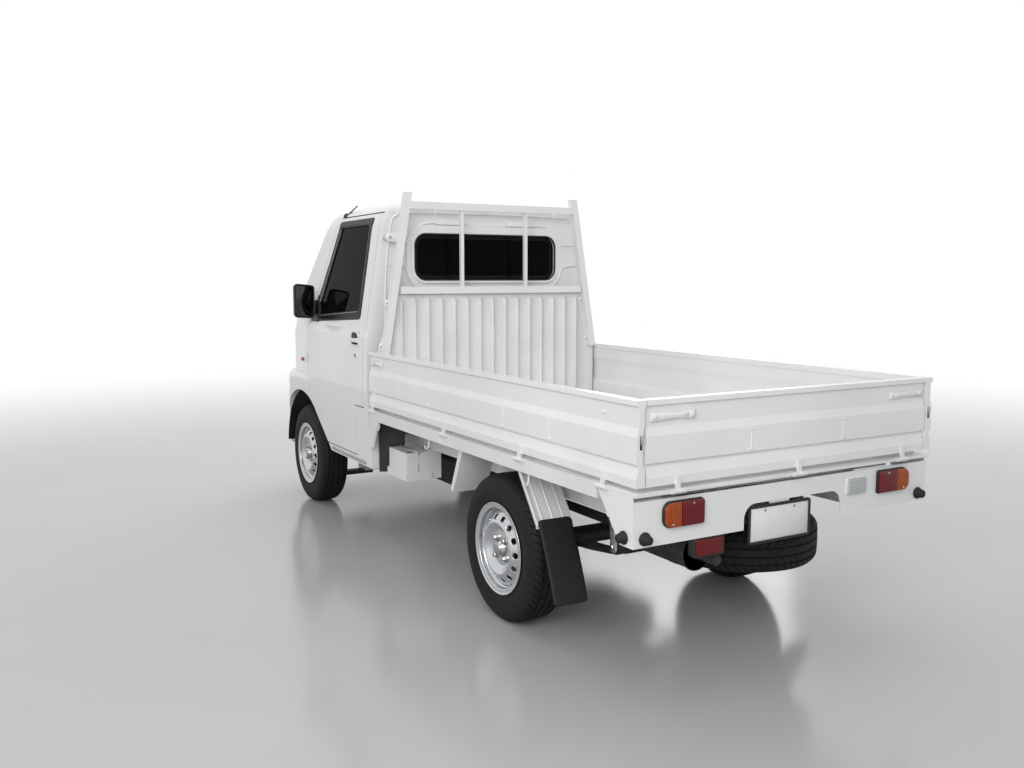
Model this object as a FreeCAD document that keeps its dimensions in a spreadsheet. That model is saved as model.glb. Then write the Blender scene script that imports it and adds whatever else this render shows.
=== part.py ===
# Kei truck with a drop-side bed.
# Millimetres, +Z up, front towards -Y, the vehicle's left towards +X.
# The origin is on the ground, in the middle of the overall length and width.
import FreeCAD, Part
import os
import re
import Sketcher
from FreeCAD import Placement, Rotation, Vector

os.makedirs("parts", exist_ok=True)
doc = FreeCAD.newDocument("KeiTruck")
sheet = doc.addObject("Spreadsheet::Sheet", "sizes")

# Driving dimensions, in millimetres, by group
drivingSizes = {
    # whole vehicle
    "wheelbase": 2392,
    "front_overhang": 550,
    "rear_overhang": 958,
    "cab_length": 1660,
    "overrun": 60,
    "seat_gap": 0.3,
    # wheels
    "tyre_radius": 296,
    "tyre_width": 165,
    "rim_seat_radius": 165,
    "rim_flange_radius": 184,
    "rim_flange_width": 7,
    "rim_sheet": 5,
    "rim_bead_step": 12,
    "rim_well_radius": 142,
    "rim_well_width": 46,
    "wheel_outer_x": 652.5,
    "disc_dish": 58,
    "disc_hub_radius": 62,
    "disc_rise": 26,
    "disc_edge_width": 10,
    "disc_back_step": 10,
    "vent_radius": 9,
    "vent_circle_radius": 112,
    "drum_radius": 120,
    "drum_width": 55,
    "drum_gap": 6,
    # cab envelope
    "cab_width": 1380,
    "sill_height": 392,
    "crease_height": 790,
    "belt_height": 1100,
    "window_top_drop": 125,
    "roof_edge_drop": 50,
    "roof_height": 1765,
    "sill_half_width": 668,
    "belt_half_width": 668,
    "window_top_half_width": 582,
    "roof_edge_half_width": 545,
    "roof_flat_half_width": 470,
    "nose_length": 730,
    "nose_bay_half_width": 520,
    "ledge_drop": 5,
    "ledge_round": 40,
    "plan_corner_round": 240,
    "plan_face_round": 500,
    "plan_upper_round": 300,
    "plan_flank_round": 1500,
    "roof_round": 55,
    "crown_round": 400,
    "header_round": 120,
    "nose_round": 80,
    "header_y_step": 790,
    "header_drop": 53,
    "cowl_y_step": 320,
    "cowl_height": 1045,
    "cowl_nose_step": 150,
    "cowl_nose_height": 965,
    "nose_top_step": 45,
    "nose_top_height": 800,
    "bumper_top_height": 520,
    "nose_bottom_height": 260,
    "nose_tuck": 40,
    "cab_wall": 38,
    "glass_inset": 9,
    "glass_thickness": 5,
    "glass_gap": 0.5,
    "cab_bed_gap": 28,
    "cowl_rise": 30,
    "header_depth": 120,
    "shoulder": 40,
    "screen_bottom": 1075,
    "screen_bottom_half_width": 585,
    "screen_top_drop": 75,
    "screen_top_half_width": 505,
    "screen_round": 55,
    "back_window_half_width": 423,
    "back_window_drop": 179,
    "back_window_height": 236,
    "back_window_round": 62,
    "back_ring_width": 44,
    "back_ring_proud": 8,
    "roof_seam_x": 520,
    "floor_top_limit": 740,
    "floor_sheet": 15,
    "platform_half_width": 600,
    "platform_height": 600,
    "platform_length": 600,
    "arch_inner_x": 300,
    "headlamp_inner_x": 335,
    "headlamp_outer_x": 585,
    "headlamp_bottom": 590,
    "headlamp_height": 135,
    "headlamp_round": 18,
    "headlamp_depth": 180,
    "grille_half_width": 300,
    "grille_bottom": 345,
    "grille_height": 110,
    "grille_round": 30,
    "grille_reach": 120,
    "grille_back_step": 36,
    "grille_thickness": 12,
    "grille_rim": 14,
    "grille_bar": 10,
    # doors
    "shut_gap": 6,
    "door_back_margin": 64,
    "door_top_drop": 75,
    "door_bottom_height": 436,
    "door_notch_height": 704,
    "arch_radius": 392,
    "arch_back_step": 495,
    "handle_length": 122,
    "handle_height": 88,
    "handle_depth": 14,
    "handle_z": 1006,
    "handle_back_margin": 44,
    "door_front_step": 150,
    "door_pin_radius": 3.2,
    "door_pin_length": 60,
    "door_pin_ear": 12,
    "door_pin_low_z": 700,
    "door_pin_high_z": 860,
    "window_bottom": 1142,
    "window_rise": 47,
    "window_round": 30,
    "handle_inset": 60,
    "mirror_back_step": 130,
    "mirror_depth": 70,
    "mirror_inner_x": 706,
    "mirror_outer_x": 796,
    "mirror_foot_x": 640,
    "mirror_bottom": 1142,
    "mirror_top": 1325,
    "mirror_round": 24,
    "mirror_arm_depth": 46,
    "mirror_arm_height": 48,
    # cabin
    "dash_reach": 100,
    "dash_length": 250,
    "dash_bottom": 740,
    "dash_half_width": 590,
    "dash_lip": 40,
    "dash_rise": 80,
    "seat_x": 310,
    "seat_width": 480,
    "seat_depth": 480,
    "seat_back_gap": 60,
    "seat_round": 40,
    "cushion_height": 130,
    "back_thickness": 110,
    "back_height": 520,
    "back_lean": 45,
    "steering_wheel_radius": 185,
    "steering_wheel_tube": 14,
    "steering_wheel_back": 60,
    "steering_wheel_z": 940,
    "steering_wheel_tilt": 50,
    "column_height": 28,
    "column_foot_rise": 120,
    # bed
    "bed_width": 1377,
    "deck_height": 715,
    "deck_rail_height": 62,
    "deck_rail_width": 40,
    "deck_sheet": 22,
    "deck_flange_drop": 12,
    "gate_height": 271,
    "swage_depth": 10,
    "gate_thickness": 34,
    "gate_bottom_gap": 8,
    "gate_end_gap": 6,
    "hinge_out": 9,
    "hinge_drop": 14,
    "hinge_radius": 8,
    "hinge_length": 56,
    "hinge_axial_gap": 1,
    "front_wall_thickness": 24,
    "front_wall_back_gap": 22,
    "front_wall_shoulder_height": 1000,
    "front_wall_top_height": 1285,
    "front_wall_top_half_width": 556,
    "rib_span": 988,
    "rib_width": 40,
    "rib_margin": 34,
    "gusset_length": 114,
    "gusset_drop": 178,
    "gusset_foot": 40,
    # guard frame
    "guard_tube": 36,
    "guard_top_height": 1784,
    "guard_top_half_width": 508,
    "guard_foot_half_width": 640,
    "guard_foot_height": 985,
    "guard_bar_height": 1300,
    "guard_bar_drop": 44,
    "guard_slim_x": 190,
    "guard_slim_half": 9,
    # rear panel
    "rear_panel_top": 677,
    "rear_panel_bottom": 530,
    "rear_panel_inset": 12,
    "rear_panel_sheet": 6,
    "rear_panel_return": 190,
    "rear_panel_foot": 63,
    "plate_notch_width": 460,
    "plate_notch_height": 616,
    "plate_notch_round": 50,
    "plate_width": 282,
    "plate_height": 127,
    "plate_z": 540,
    "plate_x": 65,
    "plate_sheet": 4,
    "plate_tab_width": 90,
    "plate_tab_rise": 24,
    "lamp_width": 165,
    "lamp_height": 86,
    "lamp_depth": 20,
    "lamp_z": 624,
    "lamp_x": 494,
    "reverse_lamp_x": 301,
    "reverse_lamp_width": 99,
    "reverse_lamp_height": 63,
    "reverse_lamp_depth": 14,
    "fog_lamp_x": 376,
    "fog_lamp_width": 130,
    "fog_lamp_height": 68,
    "fog_lamp_depth": 44,
    "buffer_radius": 22,
    "buffer_z": 558,
    "buffer_x": 644,
    "buffer_proud": 18,
    "buffer_side_step": 46,
    "buffer_side_proud": 27,
    # chassis
    "rail_width": 60,
    "rail_rear_x": 400,
    "rail_front_x": 242,
    "rail_rear_top": 638,
    "rail_height": 120,
    "cross_member": 60,
    "axle_tube_radius": 38,
    "diff_radius": 110,
    "diff_width": 150,
    "diff_face_half": 38,
    "spring_x": 430,
    "spring_width": 50,
    "spring_length": 1050,
    "spring_thickness": 30,
    "spring_rise": 42,
    "spring_eye_radius": 20,
    "shaft_radius": 32,
    "rail_front_step": 110,
    "rail_rise_step": 150,
    "engine_mount": 40,
    "engine_mount_drop": 120,
    "front_member_length": 120,
    "carrier_width": 60,
    "carrier_height": 30,
    "carrier_stud_radius": 20,
    "rail_back_step": 60,
    "engine_back_step": 100,
    "engine_length": 480,
    "engine_half_width": 200,
    "engine_bottom": 250,
    "engine_height": 320,
    "shaft_rise": 60,
    "spare_x": 100,
    "spare_back_step": 392,
    "spare_z": 392,
    # battery, fuel tank and exhaust
    "battery_inner_x": 480,
    "battery_width": 124,
    "battery_length": 219,
    "battery_back_step": 266,
    "battery_bottom": 384,
    "battery_height": 128,
    "tray_lip": 8,
    "tray_height": 30,
    "tray_bracket": 40,
    "tank_width": 170,
    "tank_length": 470,
    "tank_front_step": 175,
    "tank_bottom": 330,
    "tank_height": 210,
    "tank_round": 40,
    "muffler_x": 310,
    "muffler_z": 430,
    "muffler_radius": 60,
    "muffler_length": 380,
    "muffler_back_step": 150,
    "pipe_radius": 19,
    "pipe_front_step": 10,
    "tail_pipe_length": 100,
    "hanger_width": 30,
    # guards and flaps
    "guard_sheet": 6,
    "guard_inner_x": 500,
    "guard_outer_x": 662,
    "guard_front_top_y": 280,
    "guard_front_low_y": 375,
    "guard_back_top_y": 166,
    "guard_back_low_y": 313,
    "guard_low_z": 450,
    "flap_low_y": 430,
    "flap_low_z": 183,
    "flap_inner_x": 508,
    "flap_outer_x": 652,
    "splash_bottom": 375,
    "splash_inner_x": 510,
    "splash_outer_x": 626,
    "splash_length": 55,
    # front suspension
    "kingpin_x": 448,
    "kingpin_radius": 22,
    "knuckle_height": 270,
    "strut_radius": 45,
    "strut_tube_radius": 21,
    "strut_spring_z": 610,
    "strut_top": 745,
    "arm_width": 70,
    "arm_thickness": 22,
}

counts = {"vent_count": 14, "rib_count": 14, "barrel_count": 3}
grilleSlots = 4


# A length with its number now and the spreadsheet formula that gives it
class Size:
    def __init__(self, number, formula):
        self.number = number
        self.formula = formula

    def __add__(self, other):
        return Size(self.number + number(other), f"({self.formula} + {formula(other)})")

    def __radd__(self, other):
        return asSize(other) + self

    def __sub__(self, other):
        return Size(self.number - number(other), f"({self.formula} - {formula(other)})")

    def __rsub__(self, other):
        return asSize(other) - self

    def __mul__(self, other):
        return Size(self.number * number(other), f"({self.formula} * {formula(other)})")

    def __rmul__(self, other):
        return self * other

    def __truediv__(self, other):
        return Size(self.number / number(other), f"({self.formula} / {formula(other)})")

    def __neg__(self):
        return Size(-self.number, f"(0 - {self.formula})")


def number(value):
    return value.number if isinstance(value, Size) else float(value)


def formula(value):
    return value.formula if isinstance(value, Size) else repr(float(value))


def asSize(value):
    return value if isinstance(value, Size) else Size(float(value), repr(float(value)))


# Named access to the sheet: size.wheelbase is the cell called wheelbase
class Named:
    pass


size = Named()
for row, (alias, value) in enumerate({**drivingSizes, **counts}.items(), start=1):
    sheet.set(f"A{row}", alias)
    sheet.set(f"B{row}", str(value))
    sheet.setAlias(f"B{row}", alias)
    setattr(size, alias, Size(float(value), f"sizes.{alias}"))
doc.recompute()


# Ties a property to the sheet
def bind(item, name, value):
    item.setExpression(name, asSize(value).formula)


def place(item, x=0, y=0, z=0, rotation=None):
    if rotation is not None:
        item.Placement = Placement(Vector(), rotation)
    for axis, value in zip("xyz", (x, y, z)):
        bind(item, f"Placement.Base.{axis}", value)
    return item


def block(name, xs, ys, zs):
    box = doc.addObject("Part::Box", name)
    for side, (low, high) in zip(("Length", "Width", "Height"), (xs, ys, zs)):
        bind(box, side, asSize(high) - low)
    return place(box, xs[0], ys[0], zs[0])


turns = {
    "X": Rotation(Vector(0, 1, 0), 90),
    "Y": Rotation(Vector(1, 0, 0), -90),
    "Z": Rotation(),
}


# A round bar of the given radius, from start along an axis for a length
def rod(name, axis, radius, start, length):
    bar = doc.addObject("Part::Cylinder", name)
    bind(bar, "Radius", radius)
    bind(bar, "Height", length)
    return place(bar, *start, rotation=turns[axis])


# A plane or axis of a body's own origin
def originItem(body, role):
    return next(item for item in body.Origin.OriginFeatures if item.Role == role)


# A closed outline of straight edges, each corner held at its own two distances from the origin
def outline(body, plane, points, offset=0, role="outline"):
    sketch = body.newObject("Sketcher::SketchObject", f"{body.Name}_{role}")
    sketch.AttachmentSupport = (originItem(body, f"{plane}_Plane"), [""])
    sketch.MapMode = "FlatFace"
    bind(sketch, "AttachmentOffset.Base.z", offset)
    corners = [Vector(number(u), number(v), 0) for u, v in points]
    for here, there in zip(corners, corners[1:] + corners[:1]):
        sketch.addGeometry(Part.LineSegment(here, there), False)
    for index in range(len(corners)):
        following = (index + 1) % len(corners)
        sketch.addConstraint(Sketcher.Constraint("Coincident", index, 2, following, 1))
    for index, point in enumerate(points):
        for kind, value in zip(("DistanceX", "DistanceY"), point):
            spot = Sketcher.Constraint(kind, -1, 1, index, 1, number(value))
            held = sketch.addConstraint(spot)
            bind(sketch, f"Constraints[{held}]", value)
    return sketch


# The names of the edges of a shape that run along an axis through one of the given corners
def edgesAt(shape, axis, corners):
    names = []
    for index, edge in enumerate(shape.Edges, start=1):
        if len(edge.Vertexes) != 2:
            continue
        ends = [vertex.Point for vertex in edge.Vertexes]
        if abs(abs((ends[1] - ends[0]).normalize().dot(axis)) - 1) > 1e-6:
            continue
        flat = ends[0] - axis * ends[0].dot(axis)
        if any((flat - corner).Length < 1e-3 for corner in corners):
            names.append(f"Edge{index}")
    return names


planes = {
    "XY": (Vector(0, 0, 1), lambda u, v: Vector(u, v, 0)),
    "XZ": (Vector(0, 1, 0), lambda u, v: Vector(u, 0, v)),
    "YZ": (Vector(1, 0, 0), lambda u, v: Vector(0, u, v)),
}


# A plate or prism: an outline on one of the three planes, between two distances from it,
# with rounds given as (radius, numbers of the corners)
def slab(name, plane, points, start, end, rounds=()):
    body = doc.addObject("PartDesign::Body", name)
    offset = -asSize(end) if plane == "XZ" else start
    sketch = outline(body, plane, points, offset)
    pad = body.newObject("PartDesign::Pad", f"{name}_pad")
    pad.Profile = sketch
    bind(pad, "Length", asSize(end) - start)
    sketch.Visibility = False
    feature = pad
    axis, spread = planes[plane]
    for radius, numbers in rounds:
        doc.recompute()
        corners = [spread(number(points[index][0]), number(points[index][1])) for index in numbers]
        fillet = body.newObject("PartDesign::Fillet", f"{name}_round")
        fillet.Base = (feature, edgesAt(feature.Shape, axis, corners))
        bind(fillet, "Radius", radius)
        feature = fillet
    body.Tip = feature
    return body


# A ruled loft through outlines at the given distances from a plane
def lofted(name, plane, levels):
    body = doc.addObject("PartDesign::Body", name)
    sections = []
    for distance, points in levels:
        sections.append(outline(body, plane, points, -asSize(distance) if plane == "XZ" else distance))
    loft = body.newObject("PartDesign::AdditiveLoft", f"{name}_loft")
    loft.Profile = sections[0]
    loft.Sections = sections[1:]
    loft.Ruled = True
    body.Tip = loft
    return body


# The way the outer face of a wheel looks
faces = {
    "left": Rotation(),
    "right": Rotation(Vector(0, 0, 1), 180),
    "down": Rotation(Vector(0, 1, 0), 90),
}


# A turned piece: (along the axle, radius) points revolved about X, placed at its centre
def turned(name, points, centre, facing="left"):
    body = doc.addObject("PartDesign::Body", name)
    sketch = outline(body, "XY", points)
    revolution = body.newObject("PartDesign::Revolution", f"{name}_turn")
    revolution.Profile = sketch
    revolution.ReferenceAxis = (sketch, ["H_Axis"])
    revolution.Angle = 360
    body.Tip = revolution
    return place(body, *centre, rotation=faces[facing])


def cut(name, base, tool):
    item = doc.addObject("Part::Cut", name)
    item.Base = base
    item.Tool = tool
    return item


def fuse(name, items):
    item = doc.addObject("Part::MultiFuse", name)
    item.Shapes = items
    return item


def common(name, items):
    item = doc.addObject("Part::MultiCommon", name)
    item.Shapes = items
    return item


# Separate solids that share one node
def together(name, items):
    item = doc.addObject("Part::Compound", name)
    item.Links = items
    return item


def mirrored(name, source):
    item = doc.addObject("Part::Mirroring", name)
    item.Source = source
    item.Normal = Vector(1, 0, 0)
    return item


nodes = []


def keep(label, item):
    item.Label = label
    nodes.append(item)
    return item


# The left half of a symmetrical outline, with its mirror image added the other way round
def bothSides(points):
    return points + [(-u, v) for u, v in reversed(points)]


# Main lines
overallLength = size.front_overhang + size.wheelbase + size.rear_overhang
noseY = -overallLength / 2
tailY = overallLength / 2
rearAxleY = tailY - size.rear_overhang
frontAxleY = rearAxleY - size.wheelbase
axleZ = size.tyre_radius
gateBackY = tailY - size.buffer_proud
cabBackY = noseY + size.cab_length
bedFrontY = cabBackY + size.cab_bed_gap
bedLength = gateBackY - bedFrontY
bedHalf = size.bed_width / 2
wheelX = size.wheel_outer_x - size.tyre_width / 2


# Wheels: the tyre is open at its bead, and the rim seats in it. Its wall and tread are given as
# shares of half the width and of the height over the rim's flange.
wallShares = [
    (0.975, 0.2),
    (1, 0.42),
    (0.975, 0.66),
    (0.9, 0.84),
    (0.76, 0.945),
    (0.54, 0.985),
    (0.24, 1),
]


def tyre(label, centre, facing="left"):
    half = size.tyre_width / 2
    bead = half - size.rim_flange_width - size.seat_gap
    profile = [
        (-bead, size.rim_seat_radius + size.seat_gap),
        (-bead, size.rim_flange_radius + size.seat_gap),
    ]
    wallHeight = size.tyre_radius - size.rim_flange_radius
    for outShare, riseShare in wallShares:
        profile.append((-half * outShare, size.rim_flange_radius + wallHeight * riseShare))
    body = turned(f"{label}_body", profile + [(-u, v) for u, v in reversed(profile)], centre, facing)
    return keep(label, body)


# One round vent cut through the disc, repeated round the axle
def vents(body):
    sketch = body.newObject("Sketcher::SketchObject", f"{body.Name}_vent")
    sketch.AttachmentSupport = (originItem(body, "YZ_Plane"), [""])
    sketch.MapMode = "FlatFace"
    spot = Vector(number(size.vent_circle_radius), 0, 0)
    sketch.addGeometry(Part.Circle(spot, Vector(0, 0, 1), number(size.vent_radius)), False)
    for kind, value in (("DistanceX", size.vent_circle_radius), ("DistanceY", asSize(0))):
        held = sketch.addConstraint(Sketcher.Constraint(kind, -1, 1, 0, 3, number(value)))
        bind(sketch, f"Constraints[{held}]", value)
    held = sketch.addConstraint(Sketcher.Constraint("Radius", 0, number(size.vent_radius)))
    bind(sketch, f"Constraints[{held}]", size.vent_radius)
    hole = body.newObject("PartDesign::Pocket", f"{body.Name}_hole")
    hole.Profile = sketch
    hole.Midplane = True
    bind(hole, "Length", size.tyre_width)
    ring = body.newObject("PartDesign::PolarPattern", f"{body.Name}_holes")
    ring.Originals = [hole]
    ring.Axis = (originItem(body, "X_Axis"), [""])
    ring.Angle = 360
    bind(ring, "Occurrences", size.vent_count)
    body.Tip = ring
    sketch.Visibility = False


# A pressed steel wheel: the barrel with its drop centre, and the dished disc with its vent holes
def rim(label, centre, facing="left"):
    half = size.tyre_width / 2
    flange = half - size.rim_flange_width
    seat = size.rim_seat_radius
    thick = size.rim_sheet
    well = size.rim_well_radius
    wellHalf = size.rim_well_width / 2
    step = size.rim_bead_step
    outer = [
        (-half, size.rim_flange_radius),
        (-flange, size.rim_flange_radius),
        (-flange, seat),
        (-wellHalf - step, seat),
        (-wellHalf, well),
        (wellHalf, well),
        (wellHalf + step, seat),
        (flange, seat),
        (flange, size.rim_flange_radius),
        (half, size.rim_flange_radius),
    ]
    inner = [(u, v - thick) for u, v in reversed(outer[3:7])]
    barrel = outer + [(half, seat - thick)] + inner + [(-half, seat - thick)]
    barrelBody = turned(f"{label}_barrel", barrel, centre, facing)
    face = half - size.disc_dish
    edge = well - thick / 2
    kink = size.vent_circle_radius + size.vent_radius + thick
    disc = [
        (face, 0),
        (face, size.disc_hub_radius),
        (face - size.disc_rise, size.disc_hub_radius + size.disc_rise),
        (face, kink),
        (face - thick, edge),
        (face - thick - size.disc_edge_width, edge),
        (face - size.disc_back_step, kink),
        (face - size.disc_rise - thick, size.disc_hub_radius + size.disc_rise),
        (face - thick, size.disc_hub_radius),
        (face - thick, 0),
    ]
    discBody = turned(f"{label}_disc", disc, centre, facing)
    vents(discBody)
    return keep(label, fuse(f"{label}_wheel", [barrelBody, discBody]))


for end, axleY in (("front", frontAxleY), ("rear", rearAxleY)):
    for side, sign in (("left", 1), ("right", -1)):
        centre = (wheelX * sign, axleY, axleZ)
        tyre(f"tyre_{end}_{side}", centre, side)
        rim(f"rim_{end}_{side}", centre, side)


headerY = cabBackY - size.header_y_step
cowlY = noseY + size.cowl_y_step
roofEdgeZ = size.roof_height - size.roof_edge_drop
headerZ = size.roof_height - size.header_drop
windowTopZ = size.roof_height - size.window_top_drop
doorTopZ = size.roof_height - size.door_top_drop


# Cab envelope: the side view, the cross-section and the plan view, each drawn as an outline
# and run through the cab, keep only what lies in all three. Each corner moves in by its own
# shares of the inset, so that the walls come out even.
def sideView(inset):
    rise = size.roof_height - roofEdgeZ
    crownShare = 0.25
    points = [
        (cabBackY, size.sill_height, -1, 1),
        (cabBackY, roofEdgeZ, -1, -0.4),
        (cabBackY - rise, size.roof_height - rise * crownShare, -0.3, -1),
        ((cabBackY + headerY) / 2, size.roof_height, 0, -1),
        (headerY, headerZ, 0.52, -0.95),
        (cowlY, size.cowl_height, 0.63, -0.81),
        (noseY + size.cowl_nose_step, size.cowl_nose_height, 0.69, -0.78),
        (noseY + size.nose_top_step, size.nose_top_height, 0.96, -0.35),
        (noseY, size.bumper_top_height, 1, 0),
        (noseY + size.nose_tuck, size.nose_bottom_height, 1, 1),
        (cowlY, size.sill_height, 0, 1),
    ]
    return [(y + inset * stepShare, z + inset * riseShare) for y, z, stepShare, riseShare in points]


def crossSection(inset):
    points = [
        (size.sill_half_width, asSize(0), -1, 0),
        (size.sill_half_width, size.sill_height, -1, 0),
        (size.cab_width / 2, size.crease_height, -1, 0),
        (size.cab_width / 2 - size.glass_thickness, size.belt_height - size.shoulder, -1, -0.3),
        (size.belt_half_width, size.belt_height, -1, 0),
        (size.window_top_half_width, windowTopZ, -1, -0.2),
        (size.roof_edge_half_width, roofEdgeZ, -0.8, -0.7),
        (size.roof_flat_half_width, size.roof_height - size.shoulder / 2, -0.3, -1),
        (size.roof_flat_half_width / 2, size.roof_height, 0, -1),
    ]
    half = [(x + inset * inShare, z + inset * riseShare) for x, z, inShare, riseShare in points]
    return bothSides(half)


def planView(inset, planShares):
    half = [(size.cab_width / 2 - inset, cabBackY + size.overrun)]
    for wideShare, backShare, inShare, insetShare in planShares:
        x = size.cab_width / 2 * wideShare + inset * inShare
        half.append((x, noseY + size.nose_length * backShare + inset * insetShare))
    return bothSides(half)


# The names of a prism's top edges, but for those along its back
def topEdges(shape, top, back):
    names = []
    for index, edge in enumerate(shape.Edges, start=1):
        ends = [vertex.Point for vertex in edge.Vertexes]
        onTop = all(abs(point.z - top) < 1e-3 for point in ends)
        alongBack = all(abs(point.y - back) < 1e-3 for point in ends)
        if onTop and not alongBack:
            names.append(f"Edge{index}")
    return names


# The plan in two steps: the fenders up to their ledge, and the narrower body above it. The
# corners are round, and outside the ledge has a round edge too.
def planBody(name, inset, rounded):
    ledge = size.crease_height - size.ledge_drop - inset
    top = size.roof_height + size.overrun
    lowerRounds = [(radius - inset, numbers) for radius, numbers in lowerPlanRounds]
    upperRounds = [(radius - inset, numbers) for radius, numbers in upperPlanRounds]
    lower = slab(f"{name}_lower", "XY", planView(inset, lowerPlanShares), asSize(0), ledge, lowerRounds)
    upper = slab(f"{name}_upper", "XY", planView(inset, upperPlanShares), asSize(0), top, upperRounds)
    if rounded:
        doc.recompute()
        prism = lower.Tip
        edge = lower.newObject("PartDesign::Fillet", f"{name}_ledge")
        edge.Base = (prism, topEdges(prism.Shape, number(ledge), number(cabBackY + size.overrun)))
        bind(edge, "Radius", size.ledge_round)
        lower.Tip = edge
    return fuse(name, [lower, upper])


lowerPlanShares = [
    (1, 0.45, -1, 0),
    (0.88, 0.1, -0.8, 0.6),
    (0.58, 0, -0.2, 1),
]
upperPlanShares = [
    (1, 1, -1, 0),
    (0.905, 0.342, -1, 0.2),
    (0.775, 0.137, -0.7, 0.8),
    (0.551, 0.034, -0.2, 1),
]
lowerPlanRounds = [
    (size.plan_face_round, [1, 3, 4, 6]),
    (size.plan_corner_round, [2, 5]),
]
upperPlanRounds = [
    (size.plan_flank_round, [1, 8]),
    (size.plan_upper_round, [2, 3, 4, 5, 6, 7]),
]


wide = size.cab_width / 2 + size.overrun
sectionLong = (noseY - size.overrun, cabBackY + size.overrun)
sideRounds = [
    (size.roof_round, [1, 2]),
    (size.crown_round, [3]),
    (size.header_round, [4, 5, 7, 8]),
    (size.nose_round, [6]),
]
sectionRounds = [
    (size.crown_round / 2, [5, 12]),
    (size.nose_round, [6, 7, 10, 11]),
]


def envelope(name, inset, rounded=False):
    side = slab(f"{name}_side", "YZ", sideView(inset), -wide, wide, sideRounds if rounded else ())
    rounds = sectionRounds if rounded else ()
    section = slab(f"{name}_section", "XZ", crossSection(inset), *sectionLong, rounds)
    return common(name, [side, section, planBody(f"{name}_plan", inset, rounded)])


# The space that a front wheel needs, with its walls moved out by the given distance
def wheelArch(name, sign, grow):
    radius = size.arch_radius + grow
    back = frontAxleY + size.arch_back_step + grow
    inner = size.arch_inner_x - grow
    outer = size.cab_width / 2 + size.overrun
    tangentShare, heightShare = 0.62, 0.78
    points = [
        (frontAxleY - radius, -size.overrun),
        (frontAxleY - radius, axleZ),
        (frontAxleY, axleZ),
        (frontAxleY + radius * tangentShare, axleZ + radius * heightShare),
        (back, size.sill_height + grow),
        (back, -size.overrun),
    ]
    low, high = (inner, outer) if sign > 0 else (-outer, -inner)
    well = slab(f"{name}_well", "YZ", points, low, high)
    drum = rod(f"{name}_drum", "X", radius, (low, frontAxleY, axleZ), outer - inner)
    return fuse(name, [well, drum])


# The engine bay under the raised seat platform
def engineBay(name, grow):
    half = size.platform_half_width + grow
    front = cabBackY - size.platform_length - grow
    top = size.platform_height + grow
    return block(name, (-half, half), (front, cabBackY + size.overrun), (-size.overrun, top))


# The space under the nose, behind the bumper skin, where the chassis rails start
def noseBay(name, grow):
    half = size.nose_bay_half_width + grow
    front = noseY + size.nose_tuck + size.cab_wall - grow
    return block(name, (-half, half), (front, frontAxleY), (-size.overrun, size.sill_height + grow))


def spaces(name, grow):
    arches = [wheelArch(f"{name}_arch_{side}", sign, grow) for side, sign in (("left", 1), ("right", -1))]
    return arches + [engineBay(f"{name}_engine", grow), noseBay(f"{name}_nose", grow)]


def cabShell():
    outer = envelope("cab_outer", asSize(0), rounded=True)
    inner = envelope("cab_inner", size.cab_wall)
    outerSpaces = spaces("space", asSize(0))
    innerSpaces = spaces("cover", size.floor_sheet)
    solid = cut("cab_solid", outer, fuse("outer_spaces", outerSpaces))
    hollow = cut("cab_hollow", inner, fuse("inner_spaces", innerSpaces))
    return solid, hollow, cut("cab_shell", solid, hollow)


doorBackY = cabBackY - size.door_back_margin
doorFrontY = frontAxleY + size.door_front_step
doorLength = doorBackY - doorFrontY
notchShare = 0.15
doorTopShare = 0.68
windowBackShare = 0.145
windowTopShare = 0.478
windowShare = 0.75


# The door's outline from the side, moved out by a gap
def doorOutline(gap):
    notchY = doorBackY - doorLength * notchShare
    topFrontY = doorBackY - doorLength * doorTopShare
    return [
        (doorBackY + gap, doorTopZ + gap),
        (topFrontY - gap / 2, doorTopZ + gap),
        (doorFrontY - gap, size.belt_height + gap / 2),
        (doorFrontY - gap, size.arch_radius),
        (frontAxleY + size.arch_back_step - size.arch_radius, size.door_bottom_height - gap),
        (notchY + gap, size.door_bottom_height - gap),
        (notchY + gap, size.door_notch_height - gap),
        (doorBackY + gap, size.door_notch_height - gap),
    ]


def windowOutline(grow):
    backY = doorBackY - doorLength * windowBackShare + grow
    return [
        (backY, windowTopZ + grow),
        (backY - doorLength * windowTopShare - grow * 2, windowTopZ + grow),
        (backY - doorLength * windowShare - grow * 2, size.window_bottom - grow),
        (backY, size.window_bottom + size.window_rise - grow),
    ]


cabSolid, cabHollow, shell = cabShell()
doorLining = slab("door_lining", "XZ", crossSection(size.cab_wall), *sectionLong)
gapLining = slab("gap_lining", "XZ", crossSection(size.cab_wall + size.shut_gap), *sectionLong)

glassSkin = cut("glass_skin", envelope("glass_outer", size.glass_inset),
                envelope("glass_inner", size.glass_inset + size.glass_thickness))


def doors():
    opening = slab("door_opening", "YZ", doorOutline(size.shut_gap), -wide, wide)
    openings = cut("door_openings", opening, gapLining)
    prism = slab("door_prism", "YZ", doorOutline(asSize(0)), asSize(0), wide)
    rounds = [(size.window_round, range(4))]
    window = slab("door_window", "YZ", windowOutline(asSize(0)), asSize(0), wide, rounds)
    blank = cut("door_blank", common("door_skin", [cabSolid, prism]), doorLining)
    door = keep("door_left", cut("door_left_panel", blank, window))
    keep("door_right", mirrored("door_right_panel", door))
    pane = slab("door_pane", "YZ", windowOutline(-size.glass_gap), asSize(0), wide, rounds)
    glass = keep("door_glass_left", common("door_glass", [glassSkin, pane]))
    keep("door_glass_right", mirrored("door_glass_mirror", glass))
    return openings


doorOpenings = doors()


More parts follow.
